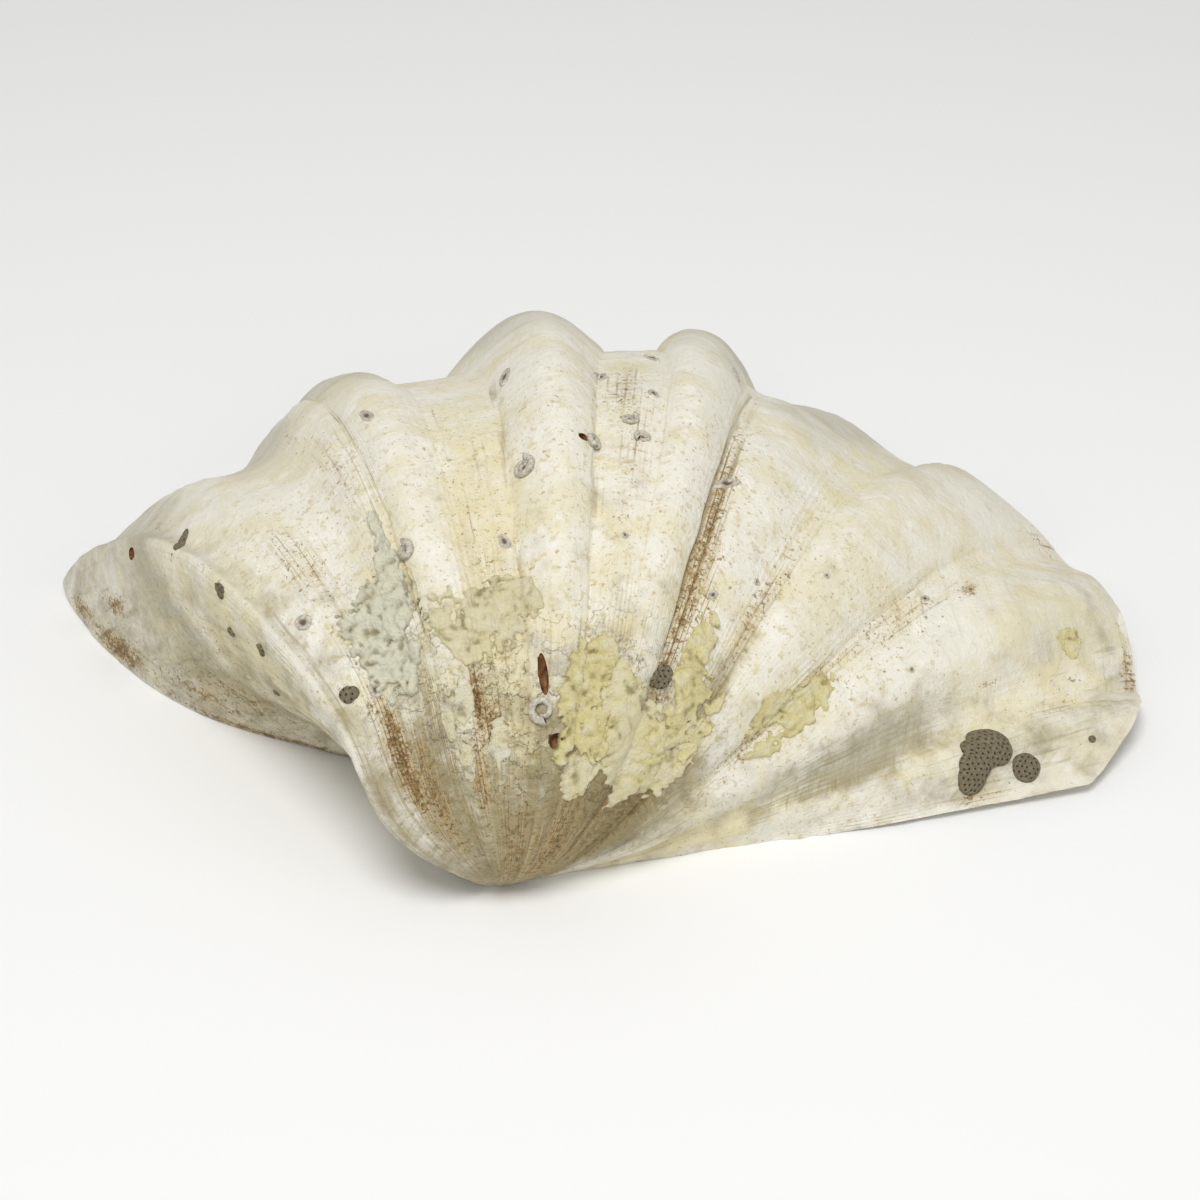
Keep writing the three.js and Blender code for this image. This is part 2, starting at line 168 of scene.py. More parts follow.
def growth_point(u, s, level):
    """The point of the growth line of age s at that level between valley (0) and crest (1)."""
    low = valley_line(u)
    high = crest_line(np.clip(u, FIRST_FOLD, LAST_FOLD))
    folded = ((u > FIRST_FOLD) & (u < LAST_FOLD))[..., None]
    x, y, z = np.moveaxis(np.where(folded, low + (high - low) * level[..., None], low), -1, 0)
    rear = 0.5 + 0.5 * np.tanh(x / FRONT_TO_REAR)
    spread = rear * REAR_SPREAD * (1 - s) ** 2 + (1 - rear) * bell(s, *UMBO_SWELL)
    turn = CURL * (1 - s**CURL_RATE)
    turned = (x * (1 + spread), y * np.cos(turn) - z * np.sin(turn), y * np.sin(turn) + z * np.cos(turn))
    return s[..., None] * np.stack(turned, -1)


def plain_back(u, s):
    """The back before it had ribs, creases or lumps."""
    level = MEAN_LEVEL + fold_relief(u, s) * (fold_height(u, s) - MEAN_LEVEL)
    return growth_point(u, s, level)


def slopes(face, u, s, step=0.01):
    """How a face runs across and along the folds, in mm per unit, and the way out of it."""
    left, right = np.maximum(u - step, 0), np.minimum(u + step, LAST_FOLD)
    across = (face(right, s) - face(left, s)) / (right - left)[..., None]
    along = (face(u, s + step) - face(u, np.maximum(s - step, 1e-4))) / (2 * step)
    normal = np.cross(across, along)
    length = np.linalg.norm(normal, axis=-1, keepdims=True)
    return across, along, normal / np.maximum(length, 1e-9)


def noise(points, size, seed):
    """Smooth random heights from -1 to 1 with bumps of that size, the same on every run."""
    cell = points / size
    low = np.floor(cell).astype(np.int64)
    share = smooth(cell - low)
    total = 0
    for corner in itertools.product((0, 1), repeat=3):
        # Large odd numbers stir each corner of the cell into a number that looks random.
        at = (low + corner) * (73856093, 19349663, 83492791)
        mixed = at[..., 0] ^ at[..., 1] ^ at[..., 2] ^ seed * 2654435761
        mixed = ((mixed ^ (mixed >> 13)) * 1274126177) & 0xFFFFFFFF
        mixed = (mixed ^ (mixed >> 16)) & 0xFFFF
        total = total + np.prod(np.where(corner, share, 1 - share), -1) * (mixed / 32767.5 - 1)
    return total


# What growth and weather left on the back, besides the folds. Heights and depths are in mm.
RIBLETS = 9  # fine ribs from each valley to the next crest
RIBLET_HEIGHT, VALLEY_RIBLETS = 0.1, 0.3  # everywhere, and what the valleys add
GROWTH_LINES = ((0.031, 0.55, 11), (0.011, 0.3, 12))  # spacing in age, height and seed
LUMPS = ((60, 1.2, 21), (24, 0.55, 22), (9, 0.22, 23))  # size, height and seed
CHIPPING = 0.006  # how far the margin is chipped back, in age
MM_PER_PLACE, MM_PER_AGE = 40, 400  # near enough, at the margin
CREASE_WANDER = 0.03
CREASES = (  # sharp edges of the valley floors: place, first age, last age, depth, half width
    (9.60, 0.30, 0.74, 1.2, 0.045),
    (10.62, 0.36, 0.72, 1.0, 0.05),
    (11.62, 0.45, 0.70, 0.5, 0.05),
    (13.08, 0.28, 0.80, 1.9, 0.06),
    (13.30, 0.28, 0.72, 1.4, 0.04),
    (13.46, 0.30, 0.62, 0.8, 0.035),
    (7.34, 0.30, 0.80, 1.3, 0.11),
    (7.02, 0.30, 0.74, 0.8, 0.08),
    (14.90, 0.32, 0.70, 0.6, 0.05),
    (17.05, 0.30, 0.80, 0.7, 0.05),
    (5.15, 0.35, 0.70, 0.4, 0.06),
)


def crease_depth(u, s, point):
    """How deep the creases are. Each comes and goes over a tenth or so of the shell's age."""
    depths = np.zeros(u.shape)
    for at, start, end, depth, half in CREASES:
        fade = ramp(s, start, start + 0.1) * (1 - ramp(s, end - 0.12, end))
        wander = at + CREASE_WANDER * noise(point, 30, 5)
        depths = depths + fade * bell(u, depth, wander, half)
    return depths


def back_relief(u, s, point):
    """Height of the riblets, creases, growth lines and lumps above the plain back."""
    in_valley = 1 - ramp(fold_height(u, s), 0.1, 0.7)
    fade = ramp(s, 0.04, 0.15) * (1 - 0.8 * ramp(s, 0.62, 0.88))
    ribs = (RIBLET_HEIGHT + VALLEY_RIBLETS * in_valley) * fade * (0.6 + 0.5 * noise(point, 35, 3))
    height = ribs * np.cos(2 * math.pi * RIBLETS * (u + 0.025 * noise(point, 28, 4)))
    height = height - crease_depth(u, s, point)
    age = s + 0.004 * noise(point, 50, 7)
    line = np.stack([age, np.zeros_like(age), np.zeros_like(age)], -1)
    lines = sum(rise * noise(line, spacing, seed) for spacing, rise, seed in GROWTH_LINES)
    height = height + ramp(s, 0.1, 0.6) * lines
    lumps = sum(rise * noise(point, size, seed) for size, rise, seed in LUMPS)
    return height + (0.25 + 0.75 * ramp(s, 0.0, 0.25)) * lumps


def back(u, s):
    """The weathered back of the valve, and the way out of it."""
    along_margin = np.stack([u * MM_PER_PLACE, s, s], -1)
    chips = 0.5 + 0.5 * noise(along_margin, 5, 31)
    chipped = s * (1 - CHIPPING * ramp(s, 0.96, 1) * chips)
    point = plain_back(u, chipped)
    normal = slopes(plain_back, u, np.maximum(chipped, 0.004))[2]
    return point + normal * back_relief(u, chipped, point)[..., None], normal


# The inner face
HEART = np.array([70.0, 190.0, 55.0])  # a point in the middle of the hollow
SQUARE_SHARE = 0.85  # of the wall's direction that is square to the shell, away from the umbo
MARGIN_WALL, BODY_WALL, UMBO_WALL, HINGE_PLATE = 7, 14, 36, 26


def plain_inside(u, s):
    """The back as the inner face follows it: the folds show only near the margin."""
    return growth_point(u, s, fold_relief(u, s) * fold_height(u, s) * ramp(s, 0.45, 0.95))


def wall(u, s):
    """Thickness of the shell: least at the margin, most round the umbo and along the hinge."""
    body = MARGIN_WALL + (BODY_WALL - MARGIN_WALL) * ramp(s, 1, 0.7)
    umbo = (UMBO_WALL - BODY_WALL) * (1 - np.minimum(s, 1)) ** 4
    hinge = (ramp(u, 19.5, 21) + ramp(u, 1, 0)) * ramp(s, 0.95, 0.55)
    return body + umbo + (HINGE_PLATE - BODY_WALL) * hinge


def inside(u, s):
    """The smooth inner face, a wall's thickness from the back."""
    point = plain_inside(u, s)
    inward = HEART - point
    inward = inward / np.linalg.norm(inward, axis=-1, keepdims=True)
    square = (SQUARE_SHARE * ramp(s, 0.25, 0.6))[..., None]
    inward = inward * (1 - square) - slopes(plain_inside, u, s)[2] * square
    inward = inward / np.linalg.norm(inward, axis=-1, keepdims=True)
    return point + inward * wall(u, s)[..., None]


# From the tip of the umbo to the frame: the low corner of the plain back, on the grid that the
# frame's valve is made on, against the low corner of that valve.
GRID_COLUMNS, GRID_ROWS, GRID_CROWDING = 4 * LAST_FOLD, 22, 1.35
WORN_OFF = 1.5  # the shell is worn flat by this much where it rests
grid_u = np.linspace(0, LAST_FOLD, GRID_COLUMNS + 1)
grid_s = (np.arange(1, GRID_ROWS + 1) / GRID_ROWS) ** GRID_CROWDING
back_low = plain_back(*np.meshgrid(grid_u, grid_s)).reshape(-1, 3).min(0)
valve_low = np.array(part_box("shell_valve")[0]) / MM
SHIFT = np.array([valve_low[0] - back_low[0], valve_low[1] - back_low[1], -WORN_OFF])


def mesh_object(name, points, faces):
    """A smooth mesh of points in mm from the tip of the umbo, placed in the frame."""
    mesh = bpy.data.meshes.new(name)
    mesh.from_pydata(((np.asarray(points) + SHIFT) * MM).tolist(), [], faces, shade_flat=False)
    mesh.update()
    made = bpy.data.objects.new(name, mesh)
    bpy.context.scene.collection.objects.link(made)
    return made


def loop_strip(first, second):
    """Faces between two closed loops of as many points."""
    following = np.roll(np.arange(len(first)), -1)
    return [(first[i], first[j], second[j], second[i]) for i, j in enumerate(following)]


BACK_COLUMNS = 36 * LAST_FOLD
BACK_ROWS = 108
BACK_CROWDING = 1.2  # above 1, rows crowd towards the umbo
LAST_ROWS = (0.9965, 1.0)  # close together, for a crisp margin
HALF_COLUMNS, QUARTER_COLUMNS = 0.26, 0.09  # below these ages the narrow shell has fewer columns
LIP_STEPS = (1.5, 4, 8, 14)  # mm from the margin inwards
LIP_CENTRE = np.array([70.0, 190.0, 20.0])  # the lip slopes towards it
MIDDLE_PLACE, MIDDLE_AGE = 10.0, 1.2  # given to the point that closes a solid in the middle


def filled_valve():
    """The valve before its hollow: the back, closed below by a shallow cone that makes the lip."""
    points, faces, ages, places = [plain_back(np.zeros(1), np.zeros(1))[0]], [], [0.0], [0.0]
    rows = [*(np.arange(1, BACK_ROWS) / BACK_ROWS) ** BACK_CROWDING, *LAST_ROWS]
    before, front, rear = [0], [], [0]
    for s in rows:
        columns = BACK_COLUMNS // (4 if s < QUARTER_COLUMNS else 2 if s < HALF_COLUMNS else 1)
        u = np.linspace(0, LAST_FOLD, columns + 1)
        row, _ = back(u, np.full_like(u, s))
        line = list(range(len(points), len(points) + columns + 1))
        points.extend(row)
        ages.extend([s] * (columns + 1))
        places.extend(u)
        if len(before) == 1:
            faces += [(0, line[i + 1], line[i]) for i in range(columns)]
        elif len(before) == len(line):
            faces += [(before[i], before[i + 1], line[i + 1], line[i]) for i in range(columns)]
        else:
            for i in range(columns // 2):
                a, b = before[i:i + 2]
                c, d, e = line[2 * i:2 * i + 3]
                faces += [(a, d, c), (a, b, d), (b, e, d)]
        front.append(line[0])
        rear.append(line[-1])
        before = line
    rim = rear + before[1:-1][::-1] + front[::-1]
    edge = np.array([points[i] for i in rim])
    inward = LIP_CENTRE - edge
    inward = inward / np.linalg.norm(inward, axis=1, keepdims=True)
    loop = rim
    for step in LIP_STEPS:
        ring = edge + inward * step
        ring[:, 2] += 0.5 * noise(ring, 7, 41) - 0.4 * math.exp(-step)  # uneven, and rounded off
        following = list(range(len(points), len(points) + len(rim)))
        points.extend(ring)
        ages.extend([1.0 + step / MM_PER_AGE] * len(rim))
        places.extend([places[i] for i in rim])
        faces += loop_strip(following, loop)
        loop = following
    points.append(LIP_CENTRE)
    ages.append(MIDDLE_AGE)
    places.append(MIDDLE_PLACE)
    faces += [(len(points) - 1, loop[(i + 1) % len(loop)], loop[i]) for i in range(len(loop))]
    return np.array(points), faces, np.array(ages), np.array(places)


HOLLOW_COLUMNS, HOLLOW_ROWS = 10 * LAST_FOLD, 44
HOLLOW_START, HOLLOW_END = 0.13, 1.09  # its ages, from the umbo's end to a little past the margin
HOLLOW_CROWDING = 1.3
CUTTER_DEPTH = 60


def hollow():
    """The hollow, as a solid that is closed by a cone under the ground."""
    u = np.linspace(0, LAST_FOLD, HOLLOW_COLUMNS + 1)
    share = (np.arange(HOLLOW_ROWS + 1) / HOLLOW_ROWS) ** HOLLOW_CROWDING
    rows = HOLLOW_START + (HOLLOW_END - HOLLOW_START) * share
    points, faces, loops = [], [], []
    for s in rows:
        ring = inside(u, np.full_like(u, s))
        loops.append(list(range(len(points), len(points) + len(u))))
        points.extend(ring)
    for first, second in zip(loops, loops[1:]):
        faces += loop_strip(first, second)
    points.append(np.mean([points[i] for i in loops[0]], 0))
    faces += [(len(points) - 1, loops[0][(i + 1) % len(u)], loops[0][i]) for i in range(len(u))]
    points.append(np.array([HEART[0], HEART[1], -CUTTER_DEPTH]))
    last = loops[-1]
    faces += [(len(points) - 1, last[i], last[(i + 1) % len(u)]) for i in range(len(u))]
    ages = np.concatenate([np.repeat(rows, len(u)), [HOLLOW_START, MIDDLE_AGE]])
    places = np.concatenate([np.tile(u, len(rows)), [MIDDLE_PLACE, MIDDLE_PLACE]])
    return np.array(points), faces, ages, places


def cut_away(solid, cutter):
    """Cuts the cutter out of the solid, and removes the cutter."""
    change = solid.modifiers.new("cut", "BOOLEAN")
    change.operation = "DIFFERENCE"
    change.solver = "MANIFOLD"
    change.object = cutter
    graph = bpy.context.evaluated_depsgraph_get()
    mesh = bpy.data.meshes.new_from_object(solid.evaluated_get(graph))
    solid.modifiers.clear()
    solid.data = mesh
    bpy.data.objects.remove(cutter)


back_points, back_faces, back_ages, back_places = filled_valve()
hollow_points, hollow_faces, hollow_ages, hollow_places = hollow()
valve = mesh_object("valve", back_points, back_faces)
cut_away(valve, mesh_object("hollow", hollow_points, hollow_faces))

# The ground that has worn it flat
BLOCK_REACH, BLOCK_DEPTH = 900, 200
square = [(x * BLOCK_REACH, y * BLOCK_REACH) for x, y in ((-1, -1), (1, -1), (1, 1), (-1, 1))]
corners = [(x, y, z) for z in (-BLOCK_DEPTH, WORN_OFF) for x, y in square]
sides = [(3, 2, 1, 0), (4, 5, 6, 7), (0, 1, 5, 4), (1, 2, 6, 5), (2, 3, 7, 6), (3, 0, 4, 7)]
cut_away(valve, mesh_object("ground", corners, sides))

# Bored and broken places: where, half sizes across and along the folds, depth, and turn in degrees
BORES = {
    "worm_hole": (10.45, 0.536, 3.8, 2.6, 6.0, 0),
    "date_mussel_slot": (9.86, 0.306, 2.6, 11.0, 3.6, 4),
    "nose_pit": (3.05, 0.788, 3.4, 4.0, 2.6, 20),
    "umbo_pit": (10.18, 0.242, 3.6, 4.4, 3.0, -25),
    "ring_hole": (4.42, 0.466, 1.5, 1.6, 3.0, 0),
}


def axes_on_back(u, s, turn=0.0):
    """A point of the back, the directions across the folds, along them and out of it there, and
    what a mm across and a mm along are in u and s."""
    at_u, at_s = np.array([float(u)]), np.array([float(s)])
    point, _ = back(at_u, at_s)
    run_u, run_s, normal = (value[0] for value in slopes(plain_back, at_u, at_s))
    first = run_u / np.linalg.norm(run_u)
    second = np.cross(normal, first)
    steps = np.linalg.inv([[run_u @ first, run_s @ first], [run_u @ second, run_s @ second]])
    c, k = math.cos(math.radians(turn)), math.sin(math.radians(turn))
    return point[0], np.array([c * first + k * second, c * second - k * first, normal]), steps


BORE_RINGS, BORE_SIDES = 10, 20


def bore_shape(middle, axes, reach):
    """An oval solid with those half sizes along its axes."""
    points, faces = [], []
    for ring in range(1, BORE_RINGS):
        tilt = math.pi * ring / BORE_RINGS
        for side in range(BORE_SIDES):
            angle = 2 * math.pi * side / BORE_SIDES
            outward = (math.sin(tilt) * math.cos(angle), math.sin(tilt) * math.sin(angle))
            points.append(middle + (np.array([*outward, math.cos(tilt)]) * reach) @ axes)
    points += [middle + axes[2] * reach[2], middle - axes[2] * reach[2]]
    top, bottom = len(points) - 2, len(points) - 1
    loops = [list(range(start, start + BORE_SIDES)) for start in range(0, top, BORE_SIDES)]
    for first, second in zip(loops, loops[1:]):
        faces += loop_strip(second, first)
    for side in range(BORE_SIDES):
        following = (side + 1) % BORE_SIDES
        faces.append((top, loops[0][side], loops[0][following]))
        faces.append((bottom, loops[-1][following], loops[-1][side]))
    return points, faces


bore_points, bore_faces, bores = [], [], []
for u, s, across, along, depth, turn in BORES.values():
    middle, axes, _ = axes_on_back(u, s, turn)
    reach = np.array([across, along, depth])
    bores.append((middle, axes, reach))
    points, faces = bore_shape(middle, axes, reach)
    bore_faces += [tuple(i + len(bore_points) for i in face) for face in faces]
    bore_points += points
cut_away(valve, mesh_object("bores", bore_points, bore_faces))

# Every vertex learns its age and place, and whether it is on the back or inside.
nearest = KDTree(len(back_points) + len(hollow_points))
for i, point in enumerate(np.concatenate([back_points, hollow_points])):
    nearest.insert(Vector((point + SHIFT) * MM), i)
nearest.balance()
found = np.array([nearest.find(v.co)[1] for v in valve.data.vertices])
ages = np.concatenate([back_ages, hollow_ages])[found]
places = np.concatenate([back_places, hollow_places])[found]
is_inside = found >= len(back_points)

# The lip's edges are worn round: each point goes half way to the middle of its neighbours.
EDGE_AGES = (0.99, 1.05)
WEAR_ROUNDS = 5
positions = np.array([v.co for v in valve.data.vertices])
edges = np.array([e.vertices for e in valve.data.edges])
counts = np.bincount(edges.ravel(), minlength=len(positions))
edge_zone = (ages > EDGE_AGES[0]) & (ages < EDGE_AGES[1])
for _ in range(WEAR_ROUNDS):
    total = np.zeros_like(positions)
    np.add.at(total, edges[:, 0], positions[edges[:, 1]])
    np.add.at(total, edges[:, 1], positions[edges[:, 0]])
    mean = total / counts[:, None]
    positions = np.where(edge_zone[:, None], 0.5 * positions + 0.5 * mean, positions)
valve.data.vertices.foreach_set("co", positions.ravel())
CRISP_EDGE = math.radians(50)  # the edges of bores, and of the ground it is worn by, stay crisp
valve.data.set_sharp_from_angle(angle=CRISP_EDGE)
valve.data.update()


def attribute(piece, name, values):
    """Keeps one number for each vertex, for the material to read."""
    made = piece.data.attributes.new(name, "FLOAT", "POINT")
    made.data.foreach_set("value", np.asarray(values, np.float32))


def spread_marks(u, s, marks):
    """Soft marks added up: each is its place, age, half width, half length and strength."""
    total = np.zeros(np.broadcast(u, s).shape)
    for at_u, at_s, width, length, strength in marks:
        total = total + strength * np.exp(-(((u - at_u) / width) ** 2) - ((s - at_s) / length) ** 2)
    return total


# Where each kind of weathering and painted shade lies: place, age, half width, half length and strength
BROWN_STAINS = (
    (9.1, 0.42, 0.50, 0.20, 0.36), (11.1, 0.50, 0.40, 0.20, 0.34), (10.9, 0.62, 0.30, 0.06, 0.36),
    (13.22, 0.48, 0.30, 0.22, 0.66), (13.75, 0.40, 0.50, 0.12, 0.55), (15.0, 0.45, 0.40, 0.14, 0.50),
    (17.35, 0.60, 0.45, 0.16, 0.50), (17.0, 0.36, 0.45, 0.12, 0.58), (18.6, 0.72, 0.10, 0.02, 0.60),
    (5.9, 0.21, 0.65, 0.11, 0.82), (5.2, 0.27, 0.30, 0.08, 0.80), (8.55, 0.30, 0.16, 0.03, 1.05),
    (8.86, 0.262, 0.14, 0.02, 0.9), (8.30, 0.22, 0.26, 0.05, 0.75), (6.65, 0.60, 0.40, 0.09, 0.52),
    (4.75, 0.52, 0.45, 0.07, 0.42), (2.85, 0.975, 0.16, 0.022, 0.9), (2.50, 0.968, 0.16, 0.03, 1.0),
    (3.5, 0.94, 0.30, 0.025, 0.60), (2.1, 0.92, 0.35, 0.035, 0.62), (1.75, 0.985, 0.50, 0.02, 0.8),
    (2.72, 0.90, 0.10, 0.025, 0.9), (2.0, 0.84, 0.30, 0.04, 0.60), (5.4, 0.50, 0.45, 0.10, 0.40),
    (11.0, 0.10, 4.5, 0.09, 0.72), (4.46, 0.93, 0.22, 0.03, 0.65), (18.9, 0.985, 0.60, 0.020, 0.66),
    (16.9, 0.965, 0.25, 0.03, 0.55), (20.7, 0.76, 0.25, 0.06, 0.55), (17.45, 0.742, 0.08, 0.02, 0.80),
    (1.2, 0.75, 0.60, 0.25, 0.45), (13.0, 0.85, 0.25, 0.10, 0.45), (11.0, 0.92, 0.35, 0.06, 0.34),
    (6.5, 0.76, 0.40, 0.06, 0.50), (4.6, 0.30, 0.50, 0.10, 0.44), (14.0, 0.25, 2.0, 0.08, 0.36),
    (19.5, 0.85, 1.2, 0.12, 0.36), (4.2, 0.80, 0.40, 0.06, 0.50), (2.6, 0.70, 0.9, 0.10, 0.32),
    (9.0, 0.26, 3.0, 0.10, 0.22),
)
YELLOW_TINTS = (
    (14.5, 0.32, 2.4, 0.12, 0.40), (17.3, 0.42, 0.6, 0.10, 0.45), (19.4, 0.25, 1.0, 0.16, 0.90),
    (19.6, 0.70, 1.0, 0.20, 0.40), (8.8, 0.30, 1.4, 0.10, 0.50), (2.2, 0.80, 0.4, 0.05, 0.55),
    (15.0, 0.74, 1.0, 0.16, 0.38), (17.8, 0.86, 0.9, 0.12, 0.45), (2.3, 0.62, 0.9, 0.14, 0.55),
    (9.2, 0.45, 0.8, 0.16, 0.28), (11.1, 0.30, 1.0, 0.14, 0.20), (6.0, 0.45, 1.0, 0.10, 0.30),
)
BARE_WHITE = (
    (10.0, 0.62, 0.35, 0.06, 0.6), (12.1, 0.60, 0.35, 0.08, 0.6), (8.25, 0.36, 0.40, 0.035, 0.6),
    (14.1, 0.27, 0.30, 0.04, 0.5), (5.6, 0.56, 0.45, 0.06, 0.5), (16.0, 0.45, 0.35, 0.10, 0.5),
    (18.39, 0.993, 0.14, 0.012, 1.4), (10.1, 0.43, 0.30, 0.08, 0.5),
)
# Grime round the umbo and low on the back, mixed with painted shade: the low faces that turn down, the
# underside of the nose, and the valley behind fold 18 (places 18.2 to 19.3, ages 0.44 to 0.6), which is
# painted shadow.
GRIME_AND_SHADE = (
    (10.5, 0.05, 9.0, 0.26, 1.10), (1.4, 0.60, 1.7, 0.60, 0.75), (18.9, 0.50, 0.5, 0.20, 0.35),
    (6.0, 0.25, 1.2, 0.12, 0.55), (14.5, 0.20, 2.5, 0.12, 0.55), (15.1, 0.34, 0.4, 0.16, 0.45),
    (3.2, 0.95, 1.2, 0.10, 0.35), (4.2, 0.40, 0.7, 0.30, 0.25), (18.2, 0.44, 0.45, 0.14, 0.34),
    (18.6, 0.94, 1.1, 0.05, 0.40), (20.1, 0.74, 0.6, 0.10, 0.30), (19.0, 0.50, 0.60, 0.16, 0.30),
    (18.5, 0.60, 0.45, 0.18, 0.12), (20.4, 0.60, 0.8, 0.40, 0.38), (20.0, 0.90, 1.6, 0.16, 0.30),
    (19.3, 0.50, 0.45, 0.16, 0.35), (3.9, 0.42, 0.3, 0.2, 0.3), (12.5, 0.20, 3.0, 0.08, 0.35),
    (2.7, 0.78, 0.9, 0.05, 0.35),
)
GREY_AND_SHADE_PATCHES = (  # painted shade in the valley behind fold 18 and along the edge of the nose's underside; those below 0 keep the grey of the margin off
    (16.8, 0.88, 1.4, 0.20, -0.55), (20.0, 0.90, 1.8, 0.20, -0.5), (18.45, 0.55, 0.40, 0.22, 0.6),
    (19.0, 0.50, 0.50, 0.16, 0.8), (2.9, 0.76, 0.7, 0.05, 0.9), (2.6, 0.62, 0.7, 0.04, 0.6),
    (3.75, 0.60, 0.25, 0.25, 0.7),
)
FLAKY = (
    (12.0, 0.26, 5.0, 0.10, 1.2), (7.5, 0.34, 2.0, 0.10, 0.7), (1.8, 0.85, 1.0, 0.25, 0.9),
    (5.5, 0.40, 1.0, 0.10, 0.6),
)
DARKEST_CREASE_DEPTH = 1.5  # a crease this deep, in mm, is fully darkened by dirt and painted shade
MARGIN_GREY_AND_SHADE = (0.66, 0.84)  # ages over which the margin's grey, with its painted shade, comes
MARGIN_CLEAN = (0.58, 0.76)  # and over which the speckle goes
# Near the margin the back is greyer, more so on the crests: real grey, with painted shade of the crest
# tops, which turn away from the light.
in_valley = 1 - ramp(fold_height(places, ages), 0.05, 0.6)
grey_and_shade = ramp(ages, *MARGIN_GREY_AND_SHADE) * (0.45 + 0.4 * (1 - in_valley))
attribute(valve, "age", ages)
attribute(valve, "place", places)
# Creases are darkened, part dirt and part painted shade.
attribute(valve, "crease", crease_depth(places, ages, plain_back(places, ages)) / DARKEST_CREASE_DEPTH)
attribute(valve, "brown", 0.14 * in_valley + spread_marks(places, ages, BROWN_STAINS))
attribute(valve, "yellow", 0.10 + 0.18 * in_valley + spread_marks(places, ages, YELLOW_TINTS))
attribute(valve, "white", spread_marks(places, ages, BARE_WHITE))
attribute(valve, "speckle", 0.5 - 0.30 * ramp(ages, *MARGIN_CLEAN))
# Grime, with painted shade on faces that turn down and in the valley behind fold 18.
attribute(valve, "grime_and_shade", spread_marks(places, ages, GRIME_AND_SHADE))
# Grey of the margin, with painted shade on its crests, behind fold 18 and along the nose's underside.
attribute(valve, "grey_and_shade", grey_and_shade + spread_marks(places, ages, GREY_AND_SHADE_PATCHES))
attribute(valve, "flaky", np.minimum(spread_marks(places, ages, FLAKY), 1))


def rgb(code):
    """An sRGB colour such as "d8d3c0", as the linear values a shader takes."""
    parts = [int(code[i:i + 2], 16) / 255 for i in (0, 2, 4)]
    return (*[c / 12.92 if c <= 0.04045 else ((c + 0.055) / 1.055) ** 2.4 for c in parts], 1)


def new_material(name):
    """A material with no nodes yet."""
    made = bpy.data.materials.new(name)
    made.use_nodes = True
    made.node_tree.nodes.clear()
    return made


def node(material, kind, inputs=None, **settings):
    """Adds a node. inputs gives, by socket name or number, a value or another node's output."""
    made = material.node_tree.nodes.new(kind)
    for key, value in settings.items():
        setattr(made, key, value)
    for socket, value in (inputs or {}).items():
        if isinstance(value, bpy.types.NodeSocket):
            material.node_tree.links.new(value, made.inputs[socket])
        else:
            made.inputs[socket].default_value = value
    return made


def in_millimetres(material):
    """The place on a piece, with 1 for each mm, so that patterns have real sizes."""
    place = node(material, "ShaderNodeTexCoord").outputs["Object"]
    sizes = {0: place, 1: (1 / MM, 1 / MM, 1 / MM)}
    return node(material, "ShaderNodeVectorMath", sizes, operation="MULTIPLY").outputs[0]


# Aragonite weathered to chalk: matt, warm white, pitted, with brown sea stains that run down the
# riblets, cream and yellow tints in the valleys, grey near the margin and grime round the umbo. Painted
# shade darkens the crest tops near the margin, the faces that turn down and the valley behind fold 18.
chalk = new_material("weathered_chalky_shell")
in_mm = in_millimetres(chalk)
marks = {
    name: node(chalk, "ShaderNodeAttribute", attribute_name=name).outputs["Fac"]
    for name in (
        "age", "place", "brown", "yellow", "white", "speckle", "grime_and_shade", "grey_and_shade", "flaky", "crease")
}
STREAKS = 9  # lengths of a streak from umbo to margin, so that each is about 55 mm
BANDS = 85  # growth lines from umbo to margin, so that each is about 6 mm wide
riblet = node(chalk, "ShaderNodeMath", {0: marks["place"], 1: RIBLETS}, operation="MULTIPLY").outputs[0]
along = node(chalk, "ShaderNodeMath", {
    0: marks["age"], 1: STREAKS}, operation="MULTIPLY").outputs[0]
growth_line = node(chalk, "ShaderNodeMath", {
    0: marks["age"], 1: BANDS}, operation="MULTIPLY").outputs[0]
runs = {  # the ways a mark may run: in mm every way, along the riblets, or along the growth lines
    "mm": in_mm,
    "riblets": node(chalk, "ShaderNodeCombineXYZ", {0: riblet, 1: along}).outputs[0],
    "growth": node(chalk, "ShaderNodeCombineXYZ", {0: growth_line, 1: marks["place"]}).outputs[0],
}
turn = node(chalk, "ShaderNodeMath", {0: riblet, 1: 2 * math.pi}, operation="MULTIPLY").outputs[0]
wave = node(chalk, "ShaderNodeMath", {0: turn}, operation="COSINE").outputs[0]
trough = node(chalk, "ShaderNodeMapRange", {
    "Value": wave, "From Min": -0.5, "From Max": -0.97}).outputs[0]
